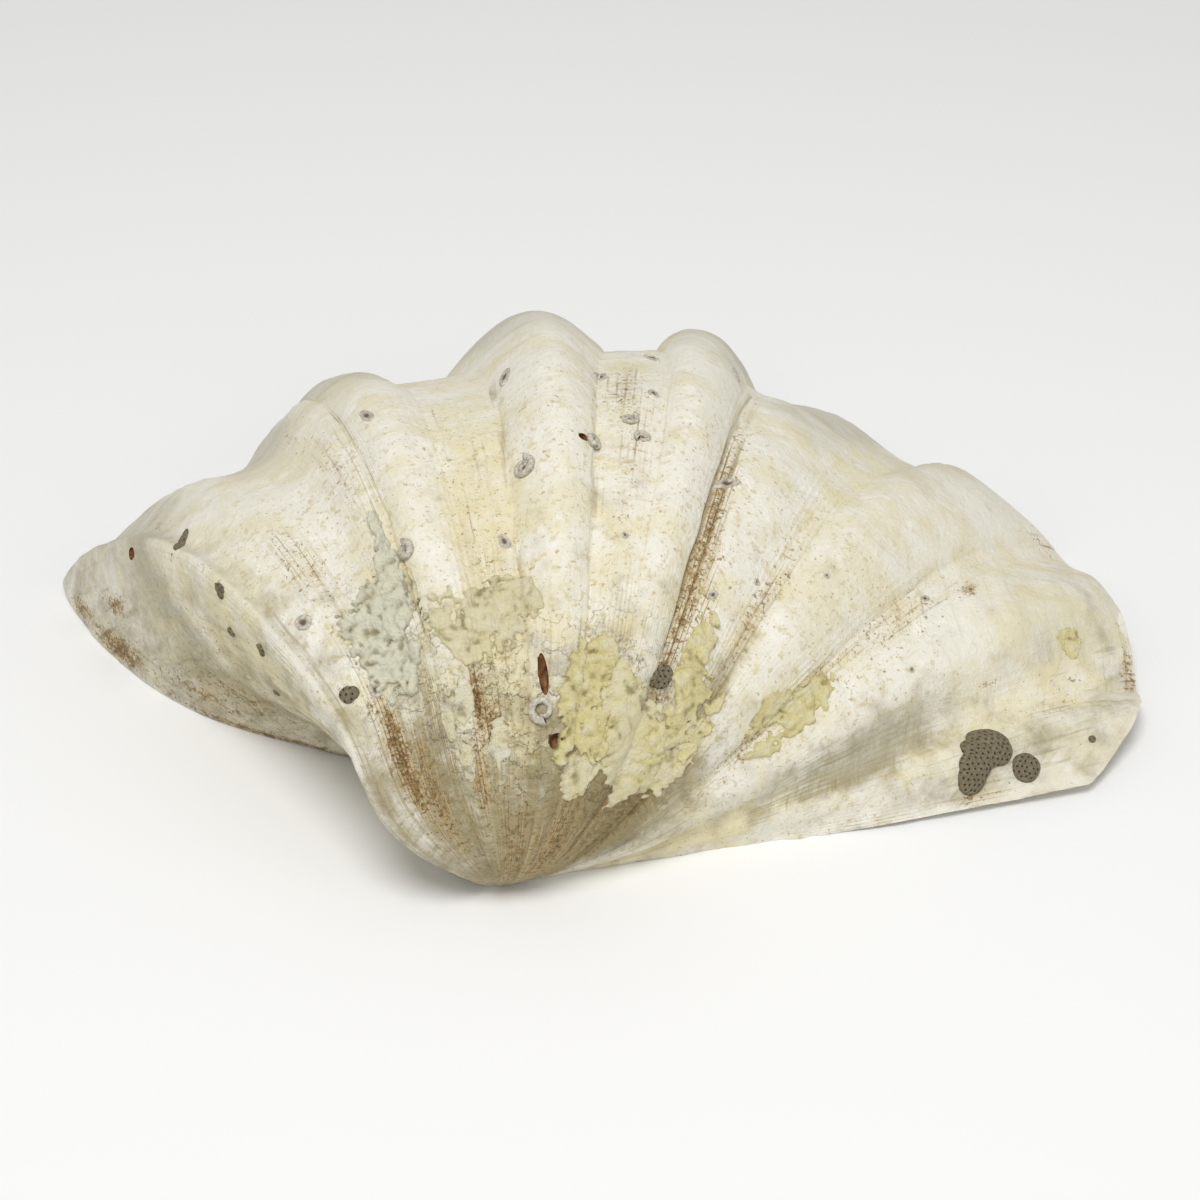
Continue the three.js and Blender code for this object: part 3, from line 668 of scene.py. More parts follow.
BACK_MARKS = (  # colour, attribute, run, size of the noise, raggedness, from, to, strength, in troughs
    ("e8e0c2", None, "mm", 46, 2.8, 0.35, 0.85, 0.85, False),  # cream clouds
    ("fbf9f0", None, "mm", 17, 3.0, 0.60, 1.10, 0.55, False),  # paler clouds
    ("dad2b6", None, "growth", 1.3, 2.4, 0.60, 1.00, 0.50, False),  # faint growth lines
    ("d6caa4", "speckle", "mm", 5.5, 3.4, 0.68, 1.05, 0.80, False),  # cream mottling
    ("e7dcb0", "yellow", "mm", 22, 2.0, 0.15, 0.95, 0.75, False),
    # The next four follow the grime and its painted shade.
    ("8d8058", "grime_and_shade", "mm", 18, 2.2, 0.10, 1.40, 0.88, False),
    ("a2946a", "grime_and_shade", "riblets", 1.2, 2.6, 0.55, 1.15, 0.70, False),  # grime and painted shade along the riblets
    ("94865e", "grime_and_shade", "growth", 0.6, 2.8, 0.70, 1.25, 0.55, False),  # and along the growth lines
    ("755f38", "grime_and_shade", "growth", 0.5, 4.2, 1.25, 1.65, 0.60, False),  # dark lines of growth in it
    # The next two follow the margin's grey and its painted shade.
    ("bfbaa2", "grey_and_shade", "mm", 60, 0.8, 0.10, 1.30, 0.75, False),
    ("a8a28a", "grey_and_shade", "growth", 1.6, 2.2, 0.55, 1.25, 0.38, False),
    ("8d8257", "flaky", "mm", 4.5, -3.4, 0.90, 1.65, 0.80, False),  # dirt and painted shade between the crumbs
    ("ede6bf", "flaky", "mm", 6.5, 2.6, 1.00, 1.50, 0.60, False),  # painted highlight on the crumbs
    ("f6f3e6", "white", "mm", 9, 1.4, 0.45, 0.75, 0.80, False),
    ("cdbb90", "brown", "riblets", 1.6, 2.6, 0.40, 1.30, 0.80, False),  # washed-out brown
    ("b39a68", "brown", "growth", 0.7, 3.4, 0.76, 1.16, 0.60, False),  # dashes along the growth lines
    ("98895f", "crease", "riblets", 0.8, 3.2, 0.45, 1.30, 0.65, False),  # dirt and painted shade along the creases
    ("7f6133", "brown", "riblets", 0.9, 2.4, 0.40, 1.15, 0.88, True),  # brown lines in the troughs
    ("bba271", "speckle", "mm", 2.6, 3.8, 0.88, 1.12, 0.75, False),  # light brown speckle all over
    ("8f7242", "brown", "mm", 3.2, 4.2, 0.86, 1.18, 0.80, False),  # brown granules
    ("6b5130", "brown", "mm", 1.7, 4.4, 1.06, 1.28, 0.85, False),  # dark specks
)
colour = rgb("f0ecdd")
for code, mark, run, size, ragged, start, end, strength, in_troughs in BACK_MARKS:
    cloud = node(chalk, "ShaderNodeTexNoise", {
        "Vector": runs[run], "Scale": 1 / size, "Detail": 5, "Roughness": 0.62}).outputs["Fac"]
    level = (0.0 if mark else 0.5) - ragged / 2
    amount = node(chalk, "ShaderNodeMath", {
        0: cloud, 1: ragged, 2: level}, operation="MULTIPLY_ADD").outputs[0]
    if mark:
        amount = node(chalk, "ShaderNodeMath", {0: amount, 1: marks[mark]}, operation="ADD").outputs[0]
    share = node(chalk, "ShaderNodeMapRange", {
        "Value": amount, "From Min": start, "From Max": end, "To Max": strength},
        interpolation_type="SMOOTHSTEP").outputs[0]
    if in_troughs:
        share = node(chalk, "ShaderNodeMath", {0: share, 1: trough}, operation="MULTIPLY").outputs[0]
    colour = node(chalk, "ShaderNodeMix", {
        0: share, 6: colour, 7: rgb(code)}, data_type="RGBA").outputs[2]
height = 0.0
BACK_GRAIN = (  # run, size, mm deep
    ("mm", 1.4, 0.45), ("mm", 3.6, 0.8), ("mm", 11, 1.6), ("riblets", 0.7, 0.35), ("growth", 0.7, 0.4),
)
for run, size, depth in BACK_GRAIN:
    grain = node(chalk, "ShaderNodeTexNoise", {
        "Vector": runs[run], "Scale": 1 / size, "Detail": 4, "Roughness": 0.6}).outputs["Fac"]
    height = node(chalk, "ShaderNodeMath", {
        0: grain, 1: depth, 2: height}, operation="MULTIPLY_ADD").outputs[0]
# Flakes 13 mm wide have come off round the umbo and left edges 0.9 mm high, and crumbs hold on.
flaking = node(chalk, "ShaderNodeTexNoise", {
    "Vector": in_mm, "Scale": 1 / 13, "Detail": 5, "Roughness": 0.55}).outputs["Fac"]
flake = node(chalk, "ShaderNodeMapRange", {
    "Value": flaking, "From Min": 0.50, "From Max": 0.525, "To Max": 0.9}).outputs[0]
crumbs = node(chalk, "ShaderNodeTexNoise", {
    "Vector": in_mm, "Scale": 1 / 4.5, "Detail": 4, "Roughness": 0.6}).outputs["Fac"]
flake = node(chalk, "ShaderNodeMath", {0: crumbs, 1: 2.2, 2: flake}, operation="MULTIPLY_ADD").outputs[0]
height = node(chalk, "ShaderNodeMath", {
    0: flake, 1: marks["flaky"], 2: height}, operation="MULTIPLY_ADD").outputs[0]
relief = node(chalk, "ShaderNodeBump", {"Strength": 1.0, "Distance": MM, "Height": height})
dullness = node(chalk, "ShaderNodeMapRange", {
    "Value": marks["grey_and_shade"], "To Min": 0.68, "To Max": 0.45}).outputs[0]
chalk_finish = node(chalk, "ShaderNodeBsdfPrincipled", {
    "Base Color": colour, "Roughness": dullness, "IOR": 1.53, "Specular IOR Level": 0.35,
    "Normal": relief.outputs[0]})
node(chalk, "ShaderNodeOutputMaterial", {"Surface": chalk_finish.outputs[0]})

# The inside, laid down smooth by the mantle: porcelain white with a soft sheen, a duller band
# outside the line where the mantle was fixed, and fine growth lines.
porcelain = new_material("porcelain_shell_inside")
age = node(porcelain, "ShaderNodeAttribute", attribute_name="age").outputs["Fac"]
cloud = node(porcelain, "ShaderNodeTexNoise", {
    "Vector": in_millimetres(porcelain), "Scale": 1 / 55, "Detail": 5}).outputs["Fac"]
wavy_age = node(porcelain, "ShaderNodeMath", {
    0: cloud, 1: 0.10, 2: age}, operation="MULTIPLY_ADD").outputs[0]
outside_line = node(porcelain, "ShaderNodeMapRange", {
    "Value": wavy_age, "From Min": 0.78, "From Max": 0.80}, interpolation_type="SMOOTHSTEP").outputs[0]
warm = node(porcelain, "ShaderNodeMix", {
    0: cloud, 6: rgb("f6f3ea"), 7: rgb("e9e2cc")}, data_type="RGBA").outputs[2]
colour = node(porcelain, "ShaderNodeMix", {
    0: outside_line, 6: warm, 7: rgb("e1d9bf")}, data_type="RGBA").outputs[2]
gloss = node(porcelain, "ShaderNodeMapRange", {
    "Value": outside_line, "To Min": 0.28, "To Max": 0.5}).outputs[0]
growth_line = node(porcelain, "ShaderNodeMath", {0: age, 1: 60}, operation="MULTIPLY").outputs[0]
line_run = node(porcelain, "ShaderNodeCombineXYZ", {0: growth_line}).outputs[0]
lines = node(porcelain, "ShaderNodeTexNoise", {
    "Vector": line_run, "Scale": 1.0, "Detail": 3}).outputs["Fac"]
relief = node(porcelain, "ShaderNodeBump", {"Strength": 0.5, "Distance": MM * 0.5, "Height": lines})
porcelain_finish = node(porcelain, "ShaderNodeBsdfPrincipled", {
    "Base Color": colour, "Roughness": gloss, "IOR": 1.53, "Normal": relief.outputs[0]})
node(porcelain, "ShaderNodeOutputMaterial", {"Surface": porcelain_finish.outputs[0]})

# Bored places: iron-stained aragonite, orange brown with darker red brown deep down.
stained = new_material("iron_stained_bore")
cloud = node(stained, "ShaderNodeTexNoise", {
    "Vector": in_millimetres(stained), "Scale": 1 / 3, "Detail": 4}).outputs["Fac"]
share = node(stained, "ShaderNodeMapRange", {
    "Value": cloud, "From Min": 0.35, "From Max": 0.65}).outputs[0]
colour = node(stained, "ShaderNodeMix", {
    0: share, 6: rgb("43220f"), 7: rgb("94622f")}, data_type="RGBA").outputs[2]
relief = node(stained, "ShaderNodeBump", {"Strength": 0.6, "Distance": MM * 0.4, "Height": cloud})
stained_finish = node(stained, "ShaderNodeBsdfPrincipled", {
    "Base Color": colour, "Roughness": 0.6, "Normal": relief.outputs[0]})
node(stained, "ShaderNodeOutputMaterial", {"Surface": stained_finish.outputs[0]})

valve.data.materials.clear()
for material in (chalk, porcelain, stained):
    valve.data.materials.append(material)
centres = np.zeros(3 * len(valve.data.polygons))
valve.data.polygons.foreach_get("center", centres)
centres = centres.reshape(-1, 3) / MM - SHIFT
CHALK, PORCELAIN, STAINED = 0, 1, 2
faces_inside = [is_inside[list(face.vertices)].mean() > 0.5 for face in valve.data.polygons]
finish_of_face = np.where(faces_inside, PORCELAIN, CHALK)
for middle, axes, reach in bores:
    local = (centres - middle) @ axes.T / reach
    finish_of_face = np.where((local**2).sum(1) < 1.0, STAINED, finish_of_face)
valve.data.polygons.foreach_set("material_index", finish_of_face)
valve.data.update()

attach(valve, "root")
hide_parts("shell_valve")

# ---------------------------------------------------------------------------------------------
# The limy crusts
# Thin sheets of lime that coralline algae laid over the back: lumpy, cracked, and grey green at the
# front, yellow behind. They grew on the shell, and their edges stand a millimetre or two proud.
# ---------------------------------------------------------------------------------------------

SHEET_DEPTH = 1.6  # how far a sheet's underside lies inside the shell, in mm
SUNK = 1.2  # how far below the back a sheet's top goes where nothing grows
SHEET_ENDS = -0.7  # the sheet is cut off where its top is lower than this
LOWEST_TOP = -1.1
CRUST_CELL = 0.8


def grown_sheet(name, u, s, across, along, cell, height_at):
    """A closed sheet on the back round (u, s). Where its height is below 0 it is inside the shell.

    height_at gives the heights, and other numbers by name for the material to read.
    """
    _, _, steps = axes_on_back(u, s)
    a = np.arange(-across, across + cell, cell)
    b = np.arange(-along, along + cell, cell)
    a, b = np.meshgrid(a, b, indexing="ij")
    at_u = np.clip(u + steps[0, 0] * a + steps[0, 1] * b, 0.03, LAST_FOLD - 0.03)
    at_s = np.clip(s + steps[1, 0] * a + steps[1, 1] * b, 0.03, 0.995)
    ground, normal = back(at_u, at_s)
    height, numbers = height_at(at_u, at_s, a, b, ground)
    shown = height > SHEET_ENDS
    kept = shown[:-1, :-1] | shown[1:, :-1] | shown[:-1, 1:] | shown[1:, 1:]
    upper = ground + normal * np.maximum(height, LOWEST_TOP)[..., None]
    lower = ground - normal * SHEET_DEPTH
    index = np.arange(a.size).reshape(a.shape)
    quads = np.stack([index[:-1, :-1], index[1:, :-1], index[1:, 1:], index[:-1, 1:]], -1)[kept]
    edges = {(q[k], q[(k + 1) % 4]) for q in quads.tolist() for k in range(4)}
    rim = [(p, q) for p, q in edges if (q, p) not in edges]
    used = np.unique(quads)
    new_index = np.full(a.size, -1)
    new_index[used] = np.arange(len(used))
    top = new_index[quads]
    faces = [tuple(q) for q in top.tolist()] + [tuple(q[::-1]) for q in (top + len(used)).tolist()]
    for p, q in sorted(rim):
        p, q = int(new_index[p]), int(new_index[q])
        faces.append((q, p, p + len(used), q + len(used)))
    points = np.concatenate([upper.reshape(-1, 3)[used], lower.reshape(-1, 3)[used]])
    made = mesh_object(name, points, faces)
    for number, values in numbers.items():
        values = np.broadcast_to(values, height.shape).reshape(-1)[used]
        attribute(made, number, np.concatenate([values, values]))
    return made


def crust_height(lobes, thickness, yellowness, seed):
    """Heights of a crust made of lobes: each is its place, age, half width and half length."""
    def height_at(u, s, a, b, point):
        reach = np.full(u.shape, -9.0)
        for at_u, at_s, width, length in lobes:
            reach = np.maximum(reach, 1 - ((u - at_u) / width) ** 2 - ((s - at_s) / length) ** 2)
        ragged = reach + 0.7 * noise(point, 17, seed) + 0.5 * noise(point, 6, seed + 1)
        body = ramp(ragged + 0.55 * noise(point, 2.6, seed + 4), 0.0, 0.22)
        broad, narrow = noise(point, 11.0, seed + 2), noise(point, 5.5, seed + 3)
        bubbles = 0.8 * np.abs(broad) + 0.9 * np.abs(narrow)
        lumps = 0.38 + 1.35 * bubbles + 0.45 * noise(point, 2.8, seed + 5)
        height = thickness * body * np.maximum(lumps, 0.1) - SUNK * (1 - body)
        return height, {"bulge": lumps * body, "yellowness": yellowness}

    return height_at


# Lime laid down by algae: a slightly glossy, bubbly skin, grey green to yellow, with brown dirt and
# painted shade in its dips and a painted highlight on its lumps.
lime = new_material("algal_lime_crust")
in_mm = in_millimetres(lime)
bulge = node(lime, "ShaderNodeAttribute", attribute_name="bulge").outputs["Fac"]
yellowness = node(lime, "ShaderNodeAttribute", attribute_name="yellowness").outputs["Fac"]
broad = node(lime, "ShaderNodeTexNoise", {"Vector": in_mm, "Scale": 1 / 16, "Detail": 4}).outputs["Fac"]
fine = node(lime, "ShaderNodeTexNoise", {
    "Vector": in_mm, "Scale": 1 / 2.2, "Detail": 4, "Roughness": 0.65}).outputs["Fac"]
tint = node(lime, "ShaderNodeMath", {0: broad, 1: 1.4, 2: -0.7}, operation="MULTIPLY_ADD").outputs[0]
tint = node(lime, "ShaderNodeMath", {0: tint, 1: yellowness}, operation="ADD").outputs[0]
swell = node(lime, "ShaderNodeMath", {0: fine, 1: 0.9, 2: bulge}, operation="MULTIPLY_ADD").outputs[0]
colour = rgb("eae8d0")
LIME_TINTS = (  # colour, what it follows, from, to, strength
    ("ebe1b8", tint, 0.0, 0.5, 1.0),
    ("eadd9f", tint, 0.5, 1.0, 1.0),
    ("f5efcf", swell, 1.25, 2.2, 0.50),  # painted highlight on the tops of the lumps
    ("8a7a4c", swell, 1.35, 0.50, 0.80),  # brown dirt and painted shade between them
)
for code, follows, start, end, strength in LIME_TINTS:
    share = node(lime, "ShaderNodeMapRange", {
        "Value": follows, "From Min": start, "From Max": end, "To Max": strength},
        interpolation_type="SMOOTHSTEP").outputs[0]
    colour = node(lime, "ShaderNodeMix", {
        0: share, 6: colour, 7: rgb(code)}, data_type="RGBA").outputs[2]
gritty = node(lime, "ShaderNodeTexNoise", {
    "Vector": in_mm, "Scale": 1 / 5.5, "Detail": 6, "Roughness": 0.68}).outputs["Fac"]
knobs = node(lime, "ShaderNodeMath", {0: gritty, 1: 5.0, 2: fine}, operation="MULTIPLY_ADD").outputs[0]
relief = node(lime, "ShaderNodeBump", {"Strength": 1.0, "Distance": MM * 0.8, "Height": knobs})
lime_finish = node(lime, "ShaderNodeBsdfPrincipled", {
    "Base Color": colour, "Roughness": 0.42, "IOR": 1.5, "Normal": relief.outputs[0]})
node(lime, "ShaderNodeOutputMaterial", {"Surface": lime_finish.outputs[0]})

CRUSTS = (  # name, CAD node, middle, half sizes in mm, thickness, yellowness, lobes
    ("grey_green_crust", "front_crust", 6.05, 0.405, 34, 66, 2.2, 0.0, (
        (6.05, 0.395, 0.95, 0.07), (6.75, 0.43, 0.5, 0.055), (5.4, 0.40, 0.55, 0.04),
        (6.95, 0.475, 0.2, 0.04))),
    ("yellow_upper_crust", "upper_crust", 8.75, 0.372, 48, 44, 1.4, 0.55, (
        (8.0, 0.395, 0.6, 0.026), (8.7, 0.36, 0.62, 0.032), (9.4, 0.365, 0.42, 0.04),
        (7.4, 0.41, 0.30, 0.035))),
    ("yellow_lower_crust", "lower_crust", 10.75, 0.275, 28, 44, 1.9, 1.0, (
        (10.65, 0.285, 0.42, 0.045), (11.02, 0.306, 0.35, 0.026), (10.5, 0.235, 0.35, 0.03),
        (11.3, 0.24, 0.6, 0.03))),
    ("yellow_middle_crust", None, 14.1, 0.32, 44, 56, 1.4, 1.0, (
        (14.0, 0.355, 0.42, 0.06), (14.5, 0.30, 0.9, 0.06), (14.1, 0.26, 0.6, 0.04),
        (15.4, 0.30, 0.5, 0.05))),
    ("thin_umbo_crust", None, 12.6, 0.225, 42, 52, 0.7, 0.7, (
        (12.2, 0.26, 1.4, 0.05), (13.4, 0.24, 1.2, 0.06), (11.2, 0.21, 0.7, 0.035),
        (15.0, 0.25, 0.9, 0.05))),
    ("yellow_rear_crust", None, 17.25, 0.40, 24, 44, 1.1, 1.0, (
        (17.35, 0.40, 0.4, 0.06), (16.9, 0.37, 0.4, 0.04), (17.6, 0.35, 0.4, 0.04))),
    ("front_flakes", None, 8.2, 0.255, 32, 44, 0.7, 0.35, (
        (8.95, 0.25, 0.3, 0.03), (8.0, 0.235, 0.3, 0.03), (7.5, 0.29, 0.3, 0.04),
        (8.2, 0.30, 0.3, 0.02))),
    ("rear_scale", None, 18.45, 0.875, 9, 13, 0.5, 1.1, ((18.45, 0.875, 0.17, 0.02),)),
)
for name, cad_node, u, s, across, along, thickness, yellowness, lobes in CRUSTS:
    heights = crust_height(lobes, thickness, yellowness, len(name))
    crust = grown_sheet(name, u, s, across, along, CRUST_CELL, heights)
    crust.data.materials.append(lime)
    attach(crust, "root")
    if cad_node:
        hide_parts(cad_node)

# ---------------------------------------------------------------------------------------------
# The corals
# Small dead corals: low cushions of grey-brown lime, each with many round cups 3 mm apart where the
# polyps sat. They grew on the shell and hold by their own foot.
# ---------------------------------------------------------------------------------------------

CUP_SPACING = 3.3
ROW_SPACING = CUP_SPACING * 0.866  # the rows of cups are staggered
CUP_SCATTER = 0.22  # of the spacing
CUP_DRAW = 1.7  # steps through the noise, so that each cup is scattered its own way
CUP_RADIUS = 0.7
CUP_DEPTH, CUP_RIM = 1.3, 0.25
CORAL_CELL = 0.42


def coral_height(lobes, thickness, seed):
    """Heights of a cushion made of round lobes, each with its middle and radius in mm, with cups."""
    def height_at(u, s, a, b, point):
        reach = np.full(a.shape, -9.0)
        for middle_a, middle_b, radius in lobes:
            away = np.hypot(a - middle_a, b - middle_b) / radius
            reach = np.maximum(reach, 1 - away**2)
        reach = reach + 0.10 * noise(point, 6, seed)
        dome = np.sqrt(np.clip(reach, 0, 1)) * 0.75 + 0.25 * ramp(reach, 0, 0.12)
        row = np.round(b / ROW_SPACING)
        nearest_cup = np.full(a.shape, 9.0)
        for row_step in (-1, 0, 1):
            for column_step in (-1, 0, 1):
                r = row + row_step
                shift = 0.5 * (r % 2)
                column = np.round(a / CUP_SPACING - shift) + column_step
                cell = np.stack([column, r, r * 0 + seed], -1) * CUP_DRAW
                cup_a = (column + shift + CUP_SCATTER * noise(cell, 1.0, seed)) * CUP_SPACING
                cup_b = r * ROW_SPACING + CUP_SCATTER * CUP_SPACING * noise(cell, 1.0, seed + 1)
                nearest_cup = np.minimum(nearest_cup, np.hypot(a - cup_a, b - cup_b))
        pit = 1 - ramp(nearest_cup, CUP_RADIUS * 0.45, CUP_RADIUS * 1.1)
        rim = bell(nearest_cup, 1.0, CUP_RADIUS * 1.15, 0.4)
        cups = (CUP_RIM * rim - CUP_DEPTH * pit) * ramp(reach, 0.05, 0.25)
        body = ramp(reach, -0.08, 0.02)
        return (thickness * dome + cups) * body - SUNK * (1 - body), {"cup": pit}

    return height_at


# Coral skeleton: matt, porous grey brown, darker in the cups.
skeleton = new_material("silted_coral_skeleton")
cup = node(skeleton, "ShaderNodeAttribute", attribute_name="cup").outputs["Fac"]
grain = node(skeleton, "ShaderNodeTexNoise", {
    "Vector": in_millimetres(skeleton), "Scale": 1 / 1.4, "Detail": 4, "Roughness": 0.65}).outputs["Fac"]
light = node(skeleton, "ShaderNodeMapRange", {
    "Value": grain, "From Min": 0.35, "From Max": 0.7}).outputs[0]
colour = node(skeleton, "ShaderNodeMix", {
    0: light, 6: rgb("625943"), 7: rgb("8d8268")}, data_type="RGBA").outputs[2]
colour = node(skeleton, "ShaderNodeMix", {0: cup, 6: colour, 7: rgb("352c1e")}, data_type="RGBA").outputs[2]
relief = node(skeleton, "ShaderNodeBump", {"Strength": 0.8, "Distance": MM * 0.5, "Height": grain})
skeleton_finish = node(skeleton, "ShaderNodeBsdfPrincipled", {
    "Base Color": colour, "Roughness": 0.8, "Normal": relief.outputs[0]})
node(skeleton, "ShaderNodeOutputMaterial", {"Surface": skeleton_finish.outputs[0]})

CORALS = (  # name, CAD node, middle, thickness in mm, lobes in mm
    ("kidney_cushion", "kidney_coral", 20.0, 0.740, 3.4, (
        (-11, -3, 10.5), (-7, 1, 9.5), (-2, -5, 11), (8, -5, 10), (14, -3, 9.5))),
    ("round_cushion", "round_coral", 20.37, 0.828, 3.0, ((0, 0, 8.4),)),
    ("middle_cushion", "middle_coral", 13.2, 0.314, 2.2, ((0, 0, 6.2), (0, 4, 5))),
    ("keel_cushion", "keel_coral", 4.4, 0.367, 2.2, ((0, 0, 4.6), (2, -2, 3.6))),
    ("rear_dot_cushion", None, 20.16, 0.925, 1.2, ((0, 0, 2.2),)),
    ("under_cushion_first", None, 3.14, 0.575, 1.4, ((0, 0, 4.0), (2.5, 1, 3))),
    ("under_cushion_second", None, 2.65, 0.607, 1.2, ((0, 0, 3.2),)),
    ("under_cushion_third", None, 2.75, 0.526, 1.2, ((0, 0, 3.4), (-2, 1, 2.5))),
    ("under_cushion_fourth", None, 2.18, 0.621, 1.2, ((0, 0, 2.4),)),
    ("nose_cushion", None, 3.75, 0.70, 1.2, ((0, 0, 3.4), (0, 4, 3.2), (0, -4, 2.8))),
)
for name, cad_node, u, s, thickness, lobes in CORALS:
    reach = max(math.hypot(lobe[0], lobe[1]) + lobe[2] for lobe in lobes) * 1.15
    heights = coral_height(lobes, thickness, 7 + len(name))
    coral = grown_sheet(name, u, s, reach, reach, CORAL_CELL, heights)
    coral.data.materials.append(skeleton)
    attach(coral, "root")
    if cad_node:
        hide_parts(cad_node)

# ---------------------------------------------------------------------------------------------
# The worm tubes
# Limy tubes that sea worms built on the shell, coiled flat and ringed by their growth; the hollow of
# the mouth is painted shade. Each is cemented to the back along its coil. Broken ones leave low oval
# lips round a middle painted dark as shade.
# ---------------------------------------------------------------------------------------------

TUBE_SIDES = 18
COIL_STEPS = 44  # in one turn
COIL_CLOSING = 0.38  # share of its radius that the coil closes by towards its small end
TUBE_TAPER = 0.5
TUBE_SEAT = 0.72  # height of the tube's middle line over the back, in its own radius
MOUTH_SHARE, MOUTH_LIFT = 0.12, 1.1  # how much of the tube's end lifts, and by how many mm
MOUTH_LINING = ((0, 0.72), (1, 0.62), (3, 0.58), (6, 0.5))  # steps back from the mouth, and width


def worm_tube(name, u, s, coil, tube, turns, start, seed):
    """A coiled tube that widens to its mouth, closed at its small end and, a short way into the mouth, by a
    cap painted dark as the hollow's shade.
    """
    middle, axes, _ = axes_on_back(u, s)
    steps = int(COIL_STEPS * turns)
    rings, lining = [], []
    for i in range(steps + 1):
        share = i / steps
        angle = start + share * turns * 2 * math.pi
        radius = coil * (1 - COIL_CLOSING + COIL_CLOSING * share)
        growth_rings = 1 + 0.05 * math.sin(i * 2.1) + 0.04 * math.sin(i * 0.9 + seed)
        thick = tube * (TUBE_TAPER + (1 - TUBE_TAPER) * share) * growth_rings
        outward = axes[0] * math.cos(angle) + axes[1] * math.sin(angle)
        centre = middle + outward * radius + axes[2] * thick * TUBE_SEAT
        lifted = max(share - (1 - MOUTH_SHARE), 0) / MOUTH_SHARE
        centre = centre + axes[2] * MOUTH_LIFT * lifted**2
        rings.append((centre, outward, thick, 0))
    for back_steps, width in MOUTH_LINING:
        centre, outward, thick, _ = rings[steps - back_steps]
        lining.append((centre, outward, thick * width, 1))
    points, faces, mouth_shade, loops = [], [], [], []
    for centre, outward, thick, is_mouth in rings + lining:
        loops.append(list(range(len(points), len(points) + TUBE_SIDES)))
        for k in range(TUBE_SIDES):
            angle = 2 * math.pi * k / TUBE_SIDES
            points.append(centre + thick * (outward * math.cos(angle) + axes[2] * math.sin(angle)))
            mouth_shade.append(is_mouth)
    for first, second in zip(loops, loops[1:]):
        faces += loop_strip(second, first)
    for loop, flip in ((loops[0], False), (loops[-1], True)):
        points.append(np.mean([points[i] for i in loop], 0))
        mouth_shade.append(float(flip))
        for k in range(TUBE_SIDES):
            a, b = loop[k], loop[(k + 1) % TUBE_SIDES]
            faces.append((len(points) - 1, a, b) if flip else (len(points) - 1, b, a))
    made = mesh_object(name, points, faces)
    attribute(made, "mouth_shade", mouth_shade)
    return made


# Worm-built lime: dull grey, ringed and silty, with painted shade inside the mouth and in the middles of
# broken tubes and coils.
tube_lime = new_material("worm_built_lime")
mouth_shade = node(tube_lime, "ShaderNodeAttribute", attribute_name="mouth_shade").outputs["Fac"]
grain = node(tube_lime, "ShaderNodeTexNoise", {
    "Vector": in_millimetres(tube_lime), "Scale": 1 / 1.8, "Detail": 4, "Roughness": 0.6}).outputs["Fac"]
light = node(tube_lime, "ShaderNodeMapRange", {
    "Value": grain, "From Min": 0.35, "From Max": 0.68}).outputs[0]
colour = node(tube_lime, "ShaderNodeMix", {
    0: light, 6: rgb("a39b8a"), 7: rgb("ddd8c8")}, data_type="RGBA").outputs[2]
# The mouth, and the middles of broken tubes and coils, are painted dark as shade.
colour = node(tube_lime, "ShaderNodeMix", {
    0: mouth_shade, 6: colour, 7: rgb("5b3d2c")}, data_type="RGBA").outputs[2]
relief = node(tube_lime, "ShaderNodeBump", {"Strength": 0.7, "Distance": MM * 0.4, "Height": grain})
tube_finish = node(tube_lime, "ShaderNodeBsdfPrincipled", {
    "Base Color": colour, "Roughness": 0.6, "Normal": relief.outputs[0]})
node(tube_lime, "ShaderNodeOutputMaterial", {"Surface": tube_finish.outputs[0]})

WORM_TUBES = (  # name, CAD node, middle, radius of coil and tube in mm, turns, start in radians
    ("coil_on_crest", "worm_coil_crest", 9.75, 0.512, 5.8, 2.1, 1.15, 0.4),
    ("coil_in_dip", "worm_coil_dip", 10.58, 0.531, 4.4, 1.9, 1.2, 2.6),
    ("coil_at_front", "worm_coil_front", 7.73, 0.462, 4.2, 2.2, 1.05, 1.8),
    ("coil_low_down", "worm_coil_low", 9.86, 0.274, 5.8, 2.2, 1.1, 4.4),
    ("pair_near_coil", "worm_pair_near", 11.03, 0.562, 4.2, 1.5, 1.1, 0.2),
    ("pair_far_coil", "worm_pair_far", 11.27, 0.54, 4.2, 1.6, 1.1, 3.4),
)
for seed, (name, cad_node, u, s, coil, tube, turns, start) in enumerate(WORM_TUBES):
    tube_piece = worm_tube(name, u, s, coil, tube, turns, start, seed)
    tube_piece.data.materials.append(tube_lime)
    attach(tube_piece, "root")
    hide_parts(cad_node)

